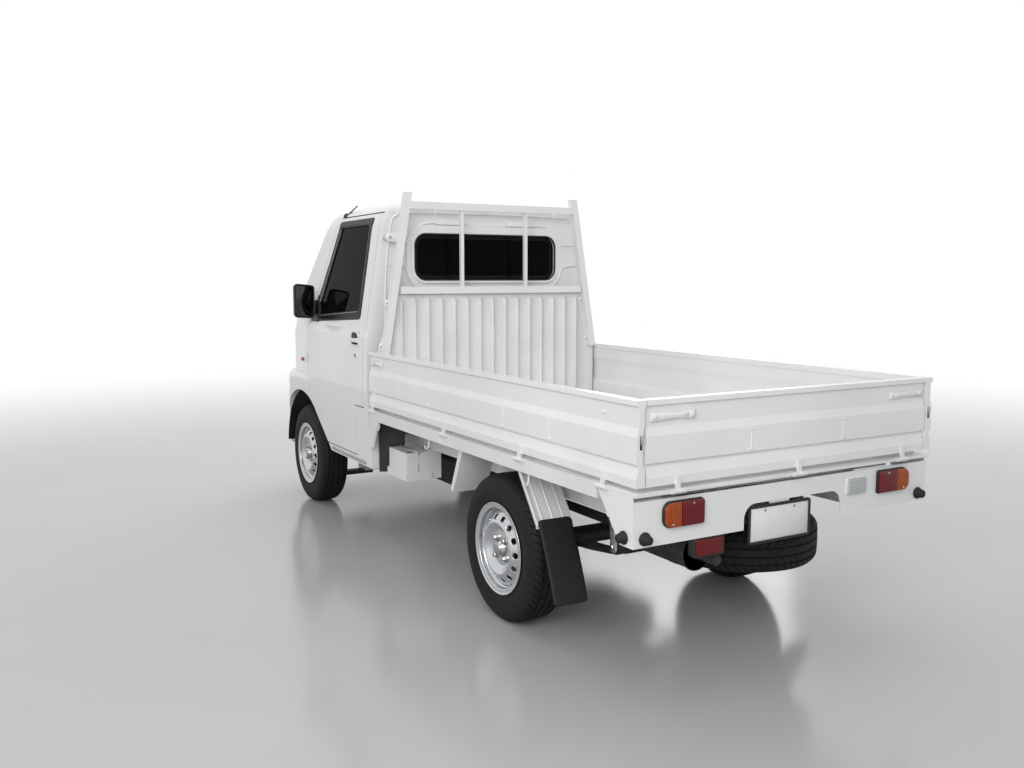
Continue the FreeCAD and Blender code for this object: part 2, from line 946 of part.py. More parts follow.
# Panels of the cab, cut from the shell one after the other where the real ones meet
def cabPanels():
    through = (noseY - size.overrun, headerY + size.header_depth)
    screenRounds = [(size.screen_round, range(4))]
    backRounds = [(size.back_window_round, range(4))]
    screen = slab("screen_opening", "XZ", screenOutline(asSize(0)), *through, screenRounds)
    backThrough = (cabBackY - size.cab_wall - size.overrun, cabBackY + size.overrun)
    back = slab("back_opening", "XZ", backWindowOutline(asSize(0)), *backThrough, backRounds)
    intake = grille()
    rest = cut("cab_frame", shell, fuse("cab_openings", [doorOpenings, screen, back, intake]))
    wallY = cabBackY - size.cab_wall
    top = size.roof_height + size.overrun
    bumperBack = frontAxleY - size.arch_radius / 2
    bumperPoints = [
        (noseY - size.overrun, asSize(0)),
        (bumperBack, asSize(0)),
        (bumperBack, size.bumper_top_height),
        (noseY - size.overrun, size.bumper_top_height),
    ]
    frontPoints = [
        (noseY - size.overrun, size.bumper_top_height),
        (doorFrontY - size.shut_gap, size.bumper_top_height),
        (doorFrontY - size.shut_gap, size.cowl_height),
        (cowlY + size.cab_wall, size.cowl_height),
        (cowlY, size.cowl_height + size.cowl_rise),
        (noseY - size.overrun, size.cowl_height + size.cowl_rise),
    ]
    inner = size.platform_half_width
    ringY = (cabBackY - size.cab_wall / 2, cabBackY + size.back_ring_proud)
    ringRound = size.back_window_round + size.back_ring_width
    ringOutline = backWindowOutline(size.back_ring_width)
    plate = slab("back_ring_plate", "XZ", ringOutline, *ringY, [(ringRound, range(4))])
    extras = {"cab_front": doorPins(), "cab_rear_wall": [cut("back_ring", plate, back)]}
    lampPoints = [
        (size.headlamp_inner_x, size.headlamp_bottom),
        (size.headlamp_outer_x, size.headlamp_bottom),
        (size.headlamp_outer_x, size.headlamp_bottom + size.headlamp_height),
        (size.headlamp_inner_x, size.headlamp_bottom + size.headlamp_height),
    ]
    lampY = (noseY - size.overrun, noseY + size.headlamp_depth)
    lampLeft = slab("headlamp_region", "XZ", lampPoints, *lampY, [(size.headlamp_round, range(4))])
    low = asSize(0)
    seam = size.roof_seam_x
    backLimit = cabBackY + size.overrun
    regions = [
        ("headlamps", fuse("headlamp_regions", [lampLeft, mirrored("headlamp_region_right", lampLeft)])),
        ("cab_rear_wall", block("rear_region", (-inner, inner), (wallY, backLimit), (-size.overrun, top))),
        ("cab_roof", block("roof_region", (-seam, seam), (headerY - size.overrun, wallY), (windowTopZ, top))),
        ("cab_floor", block("floor_region", (-inner, inner), (frontAxleY - size.arch_radius, wallY),
                            (low, size.floor_top_limit))),
        ("front_bumper", slab("bumper_region", "YZ", bumperPoints, -wide, wide)),
        ("cab_front", slab("front_region", "YZ", frontPoints, -wide, wide)),
        ("cab_side_left", block("left_region", (low, wide), (noseY - size.overrun, backLimit), (low, top))),
    ]
    for label, region in regions:
        panel = common(f"{label}_panel", [rest, region])
        keep(label, fuse(f"{label}_whole", [panel] + extras[label]) if label in extras else panel)
        rest = cut(f"after_{label}", rest, region)
    keep("cab_side_right", rest)
    screenPane = slab("screen_pane", "XZ", screenOutline(-size.glass_gap), *through, screenRounds)
    keep("windscreen", common("windscreen_glass", [glassSkin, screenPane]))
    backPane = slab("back_pane", "XZ", backWindowOutline(-size.glass_gap), *backThrough, backRounds)
    keep("rear_window", common("rear_window_glass", [glassSkin, backPane]))


# The air intake in the bumper: its opening, and the slotted grille that stands in it
def grille():
    def edge(grow):
        return bothSides([
            (size.grille_half_width + grow, size.grille_bottom - grow),
            (size.grille_half_width + grow, size.grille_bottom + size.grille_height + grow),
        ])
    rounds = [(size.grille_round, range(4))]
    through = (noseY - size.overrun, noseY + size.grille_reach)
    opening = slab("grille_opening", "XZ", edge(asSize(0)), *through, rounds)
    face = noseY + size.grille_back_step
    plate = slab("grille_plate", "XZ", edge(-size.seat_gap), face, face + size.grille_thickness, rounds)
    reach = size.grille_half_width - size.grille_rim
    pitch = (size.grille_height - size.grille_rim * 2 + size.grille_bar) / grilleSlots
    slots = []
    for index in range(grilleSlots):
        low = size.grille_bottom + size.grille_rim + pitch * index
        zs = (low, low + pitch - size.grille_bar)
        slots.append(block(f"grille_slot_{index}", (-reach, reach), through, zs))
    keep("grille", cut("grille_body", plate, fuse("grille_slots", slots)))
    return opening


# The hinge pins of the doors stand in the front shut gaps, each on an ear of the front panel
def doorPins():
    pins = []
    radius = size.door_pin_radius
    for sign in (1, -1):
        x = (size.cab_width / 2 - radius) * sign
        y = doorFrontY - size.seat_gap - radius
        for low in (size.door_pin_low_z, size.door_pin_high_z):
            pins.append(rod("door_pin", "Z", radius, (x, y, low), size.door_pin_length))
            xs = (x - size.door_pin_ear, x) if sign > 0 else (x, x + size.door_pin_ear)
            pins.append(block("door_pin_ear", xs, (y - size.door_pin_ear, y), (low, low + size.door_pin_length)))
    return pins


def screenOutline(grow):
    return bothSides([
        (size.screen_bottom_half_width + grow, size.screen_bottom - grow),
        (size.screen_top_half_width + grow, size.roof_height - size.screen_top_drop + grow),
    ])


def backWindowOutline(grow):
    top = size.roof_height - size.back_window_drop
    return bothSides([
        (size.back_window_half_width + grow, top - size.back_window_height - grow),
        (size.back_window_half_width + grow, top + grow),
    ])


cabPanels()


def cabin():
    platformTop = size.platform_height + size.floor_sheet
    dashBack = cowlY + size.dash_length
    dashPoints = [
        (cowlY - size.dash_reach, size.cowl_height - size.dash_lip),
        (dashBack, size.cowl_height - size.dash_lip),
        (dashBack + size.dash_lip, size.dash_bottom + size.dash_lip),
        (dashBack - size.dash_lip, size.dash_bottom),
        (cowlY - size.dash_reach, size.dash_bottom + size.dash_rise),
    ]
    dashBlock = slab("dashboard_block", "YZ", dashPoints, -size.dash_half_width, size.dash_half_width)
    dashboard = keep("dashboard", common("dashboard_body", [dashBlock, cabHollow]))
    seatFront = cabBackY - size.cab_wall - size.seat_back_gap - size.seat_depth
    cushions = []
    backs = []
    fallShare = 0.2
    backTaperShare = 0.33
    overlapShare = 1 - size.back_thickness / size.seat_depth
    for side, sign in (("left", 1), ("right", -1)):
        middle = size.seat_x * sign
        xs = (middle - size.seat_width / 2, middle + size.seat_width / 2)
        base = platformTop + size.seat_gap
        cushionPoints = [
            (seatFront, base),
            (seatFront + size.seat_depth, base),
            (seatFront + size.seat_depth, base + size.cushion_height * (1 - fallShare)),
            (seatFront, base + size.cushion_height),
        ]
        cushions.append(slab(f"cushion_{side}", "YZ", cushionPoints, *xs, [(size.seat_round, [2, 3])]))
        backFoot = seatFront + size.seat_depth - size.back_thickness
        backBase = base + size.cushion_height + size.seat_gap
        backTop = backBase + size.back_height
        backPoints = [
            (backFoot, backBase - size.cushion_height * fallShare * overlapShare),
            (backFoot + size.back_thickness, backBase - size.cushion_height * fallShare),
            (backFoot + size.back_thickness + size.back_lean, backTop),
            (backFoot + size.back_lean + size.back_thickness * backTaperShare, backTop),
        ]
        backs.append(slab(f"seat_back_{side}", "YZ", backPoints, *xs, [(size.seat_round / 2, [2, 3])]))
    keep("seat_cushions", together("seat_cushion_pair", cushions))
    keep("seat_backs", together("seat_back_pair", backs))
    wheel = doc.addObject("Part::Torus", "steering_wheel_rim")
    bind(wheel, "Radius1", size.steering_wheel_radius)
    bind(wheel, "Radius2", size.steering_wheel_tube)
    wheelY = dashBack + size.steering_wheel_back
    tilt = Rotation(Vector(1, 0, 0), -number(size.steering_wheel_tilt))
    place(wheel, size.seat_x, wheelY, size.steering_wheel_z, tilt)
    columnPoints = [
        (wheelY, size.steering_wheel_z - size.column_height),
        (wheelY, size.steering_wheel_z),
        (dashBack - size.dash_lip, size.dash_bottom + size.column_foot_rise),
        (dashBack - size.dash_lip, size.dash_bottom + size.dash_lip),
    ]
    half = size.steering_wheel_tube
    middle = size.seat_x
    reach = size.steering_wheel_radius
    column = slab("steering_column_body", "YZ", columnPoints, middle - half, middle + half)
    spoke = block("steering_spoke", (middle - reach, middle + reach), (wheelY - half / 2, wheelY + half / 2),
                  (size.steering_wheel_z - half, size.steering_wheel_z + half))
    parts = fuse("steering_parts", [wheel, column, spoke])
    keep("steering_wheel", cut("steering_wheel_body", parts, dashboard))


cabin()


def mirrorsAndHandles():
    mirrorPoints = [
        (size.mirror_inner_x, size.mirror_bottom),
        (size.mirror_outer_x, size.mirror_bottom),
        (size.mirror_outer_x, size.mirror_top),
        (size.mirror_inner_x, size.mirror_top),
    ]
    mirrorY = doorFrontY + size.mirror_back_step
    front = mirrorY - size.mirror_depth
    case = slab("mirror_case", "XZ", mirrorPoints, front, mirrorY, [(size.mirror_round, range(4))])
    armZ = size.mirror_bottom + size.mirror_round
    arm = block("mirror_arm", (size.mirror_foot_x, size.mirror_inner_x + size.mirror_round),
                (front, front + size.mirror_arm_depth), (armZ, armZ + size.mirror_arm_height))
    mirror = keep("mirror_left", cut("mirror_left_body", fuse("mirror_with_arm", [case, arm]), cabSolid))
    keep("mirror_right", mirrored("mirror_right_body", mirror))
    handleY = doorBackY - size.handle_back_margin
    handleX = (size.cab_width / 2 - size.handle_inset, size.cab_width / 2 + size.handle_depth)
    handleZ = (size.handle_z, size.handle_z + size.handle_height)
    handle = block("door_handle", handleX, (handleY - size.handle_length, handleY), handleZ)
    left = keep("door_handle_left", cut("door_handle_left_body", handle, cabSolid))
    keep("door_handle_right", mirrored("door_handle_right_body", left))


mirrorsAndHandles()


# Bed: the deck on its side rails, the front wall, the guard frame and the three gates
gateBottom = size.deck_height + size.gate_bottom_gap
gateTop = gateBottom + size.gate_height
gateOutsideShares = [
    (0, 0),
    (0, 0.1),
    (1, 0.23),
    (1, 0.25),
    (0, 0.275),
    (0, 0.585),
    (1, 0.685),
    (1, 0.92),
    (0, 0.94),
    (0, 1),
]
gateInsideShares = [
    (0, 1),
    (0, 0.92),
    (0.4, 0.89),
    (0.4, 0.71),
    (1, 0.6),
    (1, 0.28),
    (0, 0.2),
    (0, 0),
]
insideHalf = bedHalf - size.gate_thickness - size.gate_end_gap


hingeY = gateBackY + size.hinge_out
hingeX = bedHalf + size.hinge_out
hingeZ = size.deck_height - size.hinge_drop
sideHingeShares = (0.01, 0.38, 0.67, 0.91)
tailHingeShares = (0.1, 0.5, 0.9)


# One hinge along an axis: its outer barrels have their leaves on the deck, and its middle one
# has its leaf on the gate
def hinge(name, axis, start, part):
    step = size.hinge_length / size.barrel_count
    gap = size.hinge_axial_gap
    face, line = (bedHalf, hingeX) if axis == "Y" else (gateBackY, hingeY)
    if part == "gate":
        spans = [(start + step + gap, start + step * 2 - gap)]
        across = (face, line)
        zs = (hingeZ, gateBottom + size.hinge_length / 2)
    else:
        spans = [(start, start + step), (start + step * 2, start + size.hinge_length)]
        across = (face - size.gate_bottom_gap, line)
        zs = (hingeZ - size.hinge_radius / 2, hingeZ + size.hinge_radius / 2)
    pieces = []
    for index, along in enumerate(spans):
        foot = (line, along[0], hingeZ) if axis == "Y" else (along[0], line, hingeZ)
        xs, ys = (across, along) if axis == "Y" else (along, across)
        pieces.append(rod(f"{name}_barrel_{index}", axis, size.hinge_radius, foot, along[1] - along[0]))
        pieces.append(block(f"{name}_leaf_{index}", xs, ys, zs))
    return pieces


def hinges(part):
    side = []
    tail = []
    for index, share in enumerate(sideHingeShares):
        side += hinge(f"side_hinge_{part}_{index}", "Y", bedFrontY + bedLength * share, part)
    for index, share in enumerate(tailHingeShares):
        start = (size.bed_width - size.hinge_length) * share - bedHalf
        tail += hinge(f"tail_hinge_{part}_{index}", "X", start, part)
    return side, tail


# The sheets that close the rear wheel's arch in front and behind
def archSheets():
    thick = size.guard_sheet
    top = size.deck_height - size.deck_rail_height
    ends = [
        ("front", rearAxleY - size.guard_front_top_y, rearAxleY - size.guard_front_low_y),
        ("back", rearAxleY + size.guard_back_top_y, rearAxleY + size.guard_back_low_y),
    ]
    sheets = []
    for name, topY, lowY in ends:
        low = size.guard_low_z
        points = [(topY, top), (lowY, low), (lowY + thick, low), (topY + thick, top)]
        sheets.append(slab(f"arch_sheet_{name}", "YZ", points, size.guard_inner_x, size.guard_outer_x))
    return sheets


def bed():
    flangeTop = size.deck_height - size.deck_flange_drop
    flangeZ = (size.deck_height - size.deck_sheet, flangeTop)
    flange = block("deck_flange", (-bedHalf, bedHalf), (bedFrontY, gateBackY), flangeZ)
    wallY = bedFrontY + size.front_wall_back_gap
    floorY = (wallY + size.front_wall_thickness, gateBackY - size.gate_thickness - size.gate_end_gap)
    deck = block("deck_plate", (-insideHalf, insideHalf), floorY, (flangeTop, size.deck_height))
    railZ = (size.deck_height - size.deck_rail_height, flangeTop)
    railY = (bedFrontY, gateBackY - size.rear_panel_inset - size.rear_panel_sheet - size.rear_panel_return)
    left = block("deck_rail_left", (bedHalf - size.deck_rail_width, bedHalf), railY, railZ)
    underZ = size.deck_height - size.deck_sheet
    gussetPoints = [
        (bedFrontY, underZ),
        (bedFrontY + size.gusset_length, underZ),
        (bedFrontY + size.gusset_length, size.deck_height - size.deck_rail_height),
        (bedFrontY + size.gusset_foot, underZ - size.gusset_drop),
        (bedFrontY, underZ - size.gusset_drop),
    ]
    gusset = slab("deck_gusset", "YZ", gussetPoints, bedHalf - size.guard_sheet, bedHalf)
    side, tail = hinges("deck")
    sides = fuse("deck_side_hinges", [left, gusset] + archSheets() + side)
    both = [sides, mirrored("deck_side_right", sides)]
    keep("bed_floor", fuse("bed_floor_body", [flange, deck] + both + tail))
    wallPoints = bothSides([
        (insideHalf, flangeTop),
        (insideHalf, size.front_wall_shoulder_height),
        (size.front_wall_top_half_width, size.front_wall_top_height),
    ])
    sheetY = wallY + size.front_wall_thickness / 2
    wall = slab("bed_front_wall_body", "XZ", wallPoints, wallY, sheetY)
    keep("bed_front_wall", ribbed(wall, sheetY, wallY + size.front_wall_thickness))
    return sheetY


# Adds the pressed ribs to the front wall: one rib, repeated across it
def ribbed(body, sheetY, ribY):
    ribLow = size.deck_height + size.rib_margin
    ribHigh = size.front_wall_top_height - size.rib_margin
    start = -size.rib_span / 2
    points = [
        (start - size.rib_width / 2, ribLow),
        (start + size.rib_width / 2, ribLow),
        (start + size.rib_width / 2, ribHigh),
        (start - size.rib_width / 2, ribHigh),
    ]
    sketch = outline(body, "XZ", points, -ribY, "rib")
    rib = body.newObject("PartDesign::Pad", "wall_rib")
    rib.Profile = sketch
    bind(rib, "Length", ribY - sheetY)
    row = body.newObject("PartDesign::LinearPattern", "wall_ribs")
    row.Originals = [rib]
    row.Direction = (originItem(body, "X_Axis"), [""])
    bind(row, "Length", size.rib_span)
    bind(row, "Occurrences", size.rib_count)
    body.Tip = row
    return body


def guardFrame(frontY):
    tube = size.guard_tube
    backY = frontY + tube
    top = size.guard_top_height
    foot = size.guard_foot_height
    postPoints = [
        (size.guard_foot_half_width, foot),
        (size.guard_top_half_width, top),
        (size.guard_top_half_width - tube, top),
        (size.guard_foot_half_width - tube, foot),
    ]
    post = slab("guard_post", "XZ", postPoints, frontY, backY)
    reach = size.guard_top_half_width - tube / 2
    barReach = size.front_wall_top_half_width - tube / 2
    barTop = top - size.guard_bar_drop
    upper = block("guard_upper_bar", (-reach, reach), (frontY, backY), (barTop - tube, barTop))
    lower = block("guard_lower_bar", (-barReach, barReach), (frontY, backY),
                  (size.guard_bar_height - tube / 2, size.guard_bar_height + tube / 2))
    slim = size.guard_slim_half
    bars = []
    for name, sign in (("left", 1), ("right", -1)):
        middle = size.guard_slim_x * sign
        bars.append(block(f"guard_slim_{name}", (middle - slim, middle + slim), (frontY + slim, backY - slim),
                          (size.guard_bar_height, barTop - tube / 2)))
    posts = [post, mirrored("guard_post_right", post)]
    keep("guard_frame", fuse("guard_frame_body", posts + [upper, lower] + bars))


# The section of a gate whose outer face stands at the given distance, as (distance, height)
def gateSection(outer):
    depth = size.swage_depth
    outside = [(outer - depth * inShare, gateBottom + size.gate_height * riseShare)
               for inShare, riseShare in gateOutsideShares]
    inside = [(outer - size.gate_thickness + depth * outShare, gateBottom + size.gate_height * riseShare)
              for outShare, riseShare in gateInsideShares]
    return outside + inside


def gates():
    panel = slab("gate_left_panel", "XZ", gateSection(bedHalf), bedFrontY, gateBackY)
    side, tailLeaves = hinges("gate")
    left = keep("gate_left", fuse("gate_left_body", [panel] + side))
    keep("gate_right", mirrored("gate_right_panel", left))
    tail = slab("tailgate_board", "YZ", gateSection(gateBackY), -insideHalf, insideHalf)
    keep("tailgate", fuse("tailgate_body", [tail] + tailLeaves))


guardFrame(bed())
gates()


# Rear panel with the notch for the number plate, lamps and rubber buffers
def rearPanel():
    face = gateBackY - size.rear_panel_inset
    inner = face - size.rear_panel_sheet
    top = size.rear_panel_top
    bottom = size.rear_panel_bottom
    notch = size.plate_notch_width / 2
    points = bothSides([
        (notch, bottom),
        (bedHalf, bottom),
        (bedHalf, top),
    ])
    panel = slab("rear_panel_face", "XZ", points, inner, face)
    notchPoints = [
        (-notch, bottom - size.overrun),
        (notch, bottom - size.overrun),
        (notch, size.plate_notch_height),
        (-notch, size.plate_notch_height),
    ]
    opening = slab("plate_notch", "XZ", notchPoints, inner - size.overrun, face + size.overrun,
                   [(size.plate_notch_round, [2, 3])])
    side = [
        (inner, bottom),
        (inner, size.deck_height - size.deck_sheet),
        (inner - size.rear_panel_return, size.deck_height - size.deck_sheet),
        (inner - size.rear_panel_foot, bottom),
    ]
    left = slab("rear_panel_side_left", "YZ", side, bedHalf - size.rear_panel_sheet, bedHalf)
    right = slab("rear_panel_side_right", "YZ", side, -bedHalf, size.rear_panel_sheet - bedHalf)
    tabX = (size.plate_x - size.plate_tab_width / 2, size.plate_x + size.plate_tab_width / 2)
    tabTop = size.plate_notch_height + size.plate_tab_rise
    tabY = (inner - size.plate_sheet, face - size.plate_sheet)
    tab = block("plate_tab", tabX, tabY, (size.plate_z, tabTop))
    keep("rear_panel", fuse("rear_panel_body", [cut("rear_panel_plate", panel, opening), left, right, tab]))
    lampTable = [
        ("tail_lamp_left", size.lamp_x, size.lamp_width, size.lamp_height, size.lamp_depth),
        ("tail_lamp_right", -size.lamp_x, size.lamp_width, size.lamp_height, size.lamp_depth),
        ("reverse_lamp", -size.reverse_lamp_x, size.reverse_lamp_width, size.reverse_lamp_height,
         size.reverse_lamp_depth),
    ]
    lamps = []
    for name, middle, width, height, depth in lampTable:
        xs = (middle - width / 2, middle + width / 2)
        zs = (size.lamp_z - height / 2, size.lamp_z + height / 2)
        lamps.append(block(name, xs, (face, face + depth), zs))
    fogX = (size.fog_lamp_x - size.fog_lamp_width / 2, size.fog_lamp_x + size.fog_lamp_width / 2)
    fogZ = (bottom - size.fog_lamp_height, bottom)
    lamps.append(block("fog_lamp", fogX, (face - size.fog_lamp_depth, face), fogZ))
    keep("rear_lamps", together("rear_lamp_set", lamps))
    plateX = (size.plate_x - size.plate_width / 2, size.plate_x + size.plate_width / 2)
    keep("number_plate", block("number_plate_body", plateX, (face - size.plate_sheet, face),
                               (size.plate_z - size.plate_height / 2, size.plate_z + size.plate_height / 2)))
    sideY = face - size.buffer_side_step
    buffers = [
        rod("buffer_rear", "Y", size.buffer_radius, (size.buffer_x, face, size.buffer_z), tailY - face),
        rod("buffer_side", "X", size.buffer_radius, (bedHalf, sideY, size.buffer_z), size.buffer_side_proud),
    ]
    images = [mirrored(f"{item.Name}_right", item) for item in buffers]
    keep("buffers", together("buffer_set", buffers + images))


rearPanel()


# Chassis: two rails that step up behind the cab, cross members, axle, springs and running gear
def chassis():
    high = size.rail_rear_top
    low = size.sill_height
    deep = size.rail_height
    wideHalf = size.rail_rear_x
    stations = [
        (noseY + size.rail_front_step, size.rail_front_x, low),
        (cabBackY - size.platform_length, size.rail_front_x, low),
        (bedFrontY + size.rail_rise_step, wideHalf, high),
        (gateBackY - size.rail_back_step, wideHalf, high),
    ]
    levels = []
    for y, x, top in stations:
        wall = x + size.rail_width
        levels.append((y, [(x, top - deep), (wall, top - deep), (wall, top), (x, top)]))
    body = lofted("rail_left_body", "XZ", levels)
    rails = keep("chassis_rails", together("chassis_rail_pair", [body, mirrored("rail_right_body", body)]))
    members = []
    reach = bedHalf - size.deck_rail_width
    for index, share in enumerate(crossMemberShares):
        y = bedFrontY + bedLength * share
        members.append(block(f"cross_member_{index}", (-reach, reach), (y, y + size.cross_member),
                             (high, size.deck_height - size.deck_sheet)))
    outer = size.rail_front_x + size.rail_width
    half = size.front_member_length / 2
    frontY = (frontAxleY - half, frontAxleY + half)
    members.append(block("front_member", (-outer, outer), frontY, (armTop, low - deep)))
    keep("cross_members", together("cross_member_set", members))
    return rails


armTop = axleZ - size.knuckle_height / 2 - size.seat_gap
crossMemberShares = (0.08, 0.32, 0.6, 0.9)
rails = chassis()


drumX = size.kingpin_x + size.kingpin_radius + size.drum_gap
hubX = size.wheel_outer_x - size.disc_dish - size.rim_sheet - size.seat_gap


# The outline of a drum with the stub that carries the wheel's disc, from the inside out
def drumProfile():
    return [
        (drumX, size.drum_radius),
        (drumX + size.drum_width, size.drum_radius),
        (drumX + size.drum_width, size.kingpin_radius),
        (hubX, size.kingpin_radius),
        (hubX, asSize(0)),
    ]


# One leaf spring: a bowed pack that thins towards its eyes, a fixed hanger in front and a shackle behind
def leafSpring():
    half = size.spring_length / 2
    foot = axleZ + size.axle_tube_radius
    xs = (size.spring_x - size.spring_width / 2, size.spring_x + size.spring_width / 2)
    lower = []
    upper = []
    for spanShare in springSpanShares:
        y = rearAxleY + half * spanShare
        rise = size.spring_rise * (spanShare * spanShare)
        lower.append((y, foot + rise))
        upper.append((y, foot + rise + size.spring_thickness * (1 - abs(spanShare) * springTaperShare)))
    pack = slab("leaf_pack", "YZ", lower + upper[::-1], *xs)
    eyeZ = foot + size.spring_rise + size.spring_eye_radius
    railBottom = size.rail_rear_top - size.rail_height
    pieces = [pack]
    for name, sign in (("front", -1), ("rear", 1)):
        eyeY = rearAxleY + half * sign
        reach = size.spring_eye_radius
        pieces.append(rod(f"spring_eye_{name}", "X", reach, (xs[0], eyeY, eyeZ), size.spring_width))
        pieces.append(block(f"spring_hanger_{name}", xs, (eyeY - reach, eyeY + reach), (eyeZ, railBottom)))
    return fuse("leaf_spring_left", pieces)


springSpanShares = (-1, -0.7, -0.4, -0.12, 0.12, 0.4, 0.7, 1)
springTaperShare = 0.6


def runningGear():
    half = [
        (size.diff_face_half, size.diff_radius),
        (size.diff_width / 2, size.axle_tube_radius),
        (drumX, size.axle_tube_radius),
    ] + drumProfile()
    axle = keep("rear_axle", turned("rear_axle_body", bothSides(half), (0, rearAxleY, axleZ)))
    left = leafSpring()
    keep("leaf_springs", together("leaf_spring_pair", [left, mirrored("leaf_spring_right", left)]))
    engineBack = cabBackY + size.engine_back_step
    middle = engineBack - size.engine_length / 2
    top = size.engine_bottom + size.engine_height
    engine = block("engine_block", (-size.engine_half_width, size.engine_half_width),
                   (engineBack - size.engine_length, engineBack), (size.engine_bottom, top))
    mountReach = (size.rail_front_x + size.rail_rear_x + size.rail_width) / 2
    mountZ = top - size.engine_mount_drop
    mount = block("engine_mount", (-mountReach, mountReach),
                  (middle - size.engine_mount / 2, middle + size.engine_mount / 2),
                  (mountZ, mountZ + size.engine_mount))
    keep("engine", cut("engine_body", fuse("engine_parts", [engine, mount]), rails))
    shaft = rod("prop_shaft_tube", "Y", size.shaft_radius, (asSize(0), engineBack, axleZ + size.shaft_rise),
                rearAxleY - engineBack)
    keep("prop_shaft", cut("prop_shaft_body", shaft, axle))
    spare = (-size.spare_x, gateBackY - size.spare_back_step, size.spare_z)
    tyre("spare_tyre", spare, "down")
    rim("spare_rim", spare, "down")
    railBottom = size.rail_rear_top - size.rail_height
    discTop = size.spare_z - size.tyre_width / 2 + size.disc_dish + size.rim_sheet
    reach = size.rail_rear_x
    barY = (spare[1] - size.carrier_width / 2, spare[1] + size.carrier_width / 2)
    bar = block("carrier_bar", (-reach, reach), barY, (railBottom, railBottom + size.carrier_height))
    foot = (spare[0], spare[1], discTop)
    stud = rod("carrier_stud", "Z", size.carrier_stud_radius, foot, railBottom - discTop)
    keep("spare_carrier", fuse("spare_carrier_body", [bar, stud]))


runningGear()


# Battery in its tray, hung outside the left rail
def battery():
    railOuter = size.rail_rear_x + size.rail_width
    xs = (size.battery_inner_x, size.battery_inner_x + size.battery_width)
    ys = (bedFrontY + size.battery_back_step - size.battery_length, bedFrontY + size.battery_back_step)
    lip = size.tray_lip
    bottom = size.battery_bottom
    case = block("battery_case", xs, ys, (bottom, bottom + size.battery_height))
    tray = block("battery_tray", (xs[0] - lip, xs[1] + lip), (ys[0] - lip, ys[1] + lip),
                 (bottom - lip, bottom + size.tray_height))
    railBottom = size.rail_rear_top - size.rail_height
    arm = block("battery_bracket", (railOuter - size.tray_bracket, xs[0]), (ys[1] - size.tray_bracket, ys[1]),
                (bottom - lip, railBottom))
    keep("battery", fuse("battery_body", [case, tray, arm]))


def fuelTank():
    railOuter = size.rail_rear_x + size.rail_width
    start = bedFrontY + size.tank_front_step
    bottom = size.tank_bottom
    points = [
        (-railOuter, bottom),
        (-railOuter, size.rail_rear_top - size.tray_bracket),
        (-railOuter - size.tray_lip, size.rail_rear_top - size.tray_bracket),
        (-railOuter - size.tray_lip, bottom + size.tank_height),
        (-railOuter - size.tank_width, bottom + size.tank_height),
        (-railOuter - size.tank_width, bottom),
    ]
    end = start + size.tank_length
    keep("fuel_tank", slab("fuel_tank_body", "XZ", points, start, end, [(size.tank_round, [4, 5])]))


def exhaust():
    x = size.muffler_x
    z = size.muffler_z
    back = gateBackY - size.muffler_back_step
    front = back - size.muffler_length
    engineY = cabBackY - size.pipe_front_step
    can = rod("muffler_can", "Y", size.muffler_radius, (x, front, z), size.muffler_length)
    pipe = rod("exhaust_pipe", "Y", size.pipe_radius, (x, engineY, z), front - engineY)
    elbowX = size.engine_half_width
    elbow = rod("exhaust_elbow", "X", size.pipe_radius, (elbowX, engineY, z), x - elbowX)
    tail = rod("tail_pipe", "Y", size.pipe_radius, (x, back, z), size.tail_pipe_length)
    member = bedFrontY + bedLength * crossMemberShares[-1]
    hanger = block("muffler_hanger", (x - size.hanger_width / 2, x + size.hanger_width / 2),
                   (member, member + size.hanger_width), (z, size.rail_rear_top))
    keep("muffler", fuse("muffler_body", [can, pipe, elbow, tail, hanger]))


# The sheets beside the engine bay and the mud flaps
def guards():
    thick = size.guard_sheet
    splashPoints = [
        (size.splash_outer_x, cabBackY + size.seat_gap),
        (size.splash_inner_x, cabBackY + size.splash_length),
        (size.splash_inner_x + thick, cabBackY + size.splash_length + thick),
        (size.splash_outer_x + thick, cabBackY + size.seat_gap + thick),
    ]
    splash = slab("splash_sheet", "XY", splashPoints, size.splash_bottom, size.deck_height - size.deck_sheet)
    keep("splash_guards", together("splash_guard_pair", [splash, mirrored("splash_sheet_right", splash)]))
    flapPoints = [
        (rearAxleY + size.guard_back_low_y, size.guard_low_z),
        (rearAxleY + size.flap_low_y, size.flap_low_z),
        (rearAxleY + size.flap_low_y + thick, size.flap_low_z),
        (rearAxleY + size.guard_back_low_y + thick, size.guard_low_z),
    ]
    flap = slab("mud_flap_left", "YZ", flapPoints, size.flap_inner_x, size.flap_outer_x)
    keep("mud_flaps", together("mud_flap_pair", [flap, mirrored("mud_flap_right", flap)]))


battery()
fuelTank()
exhaust()
guards()


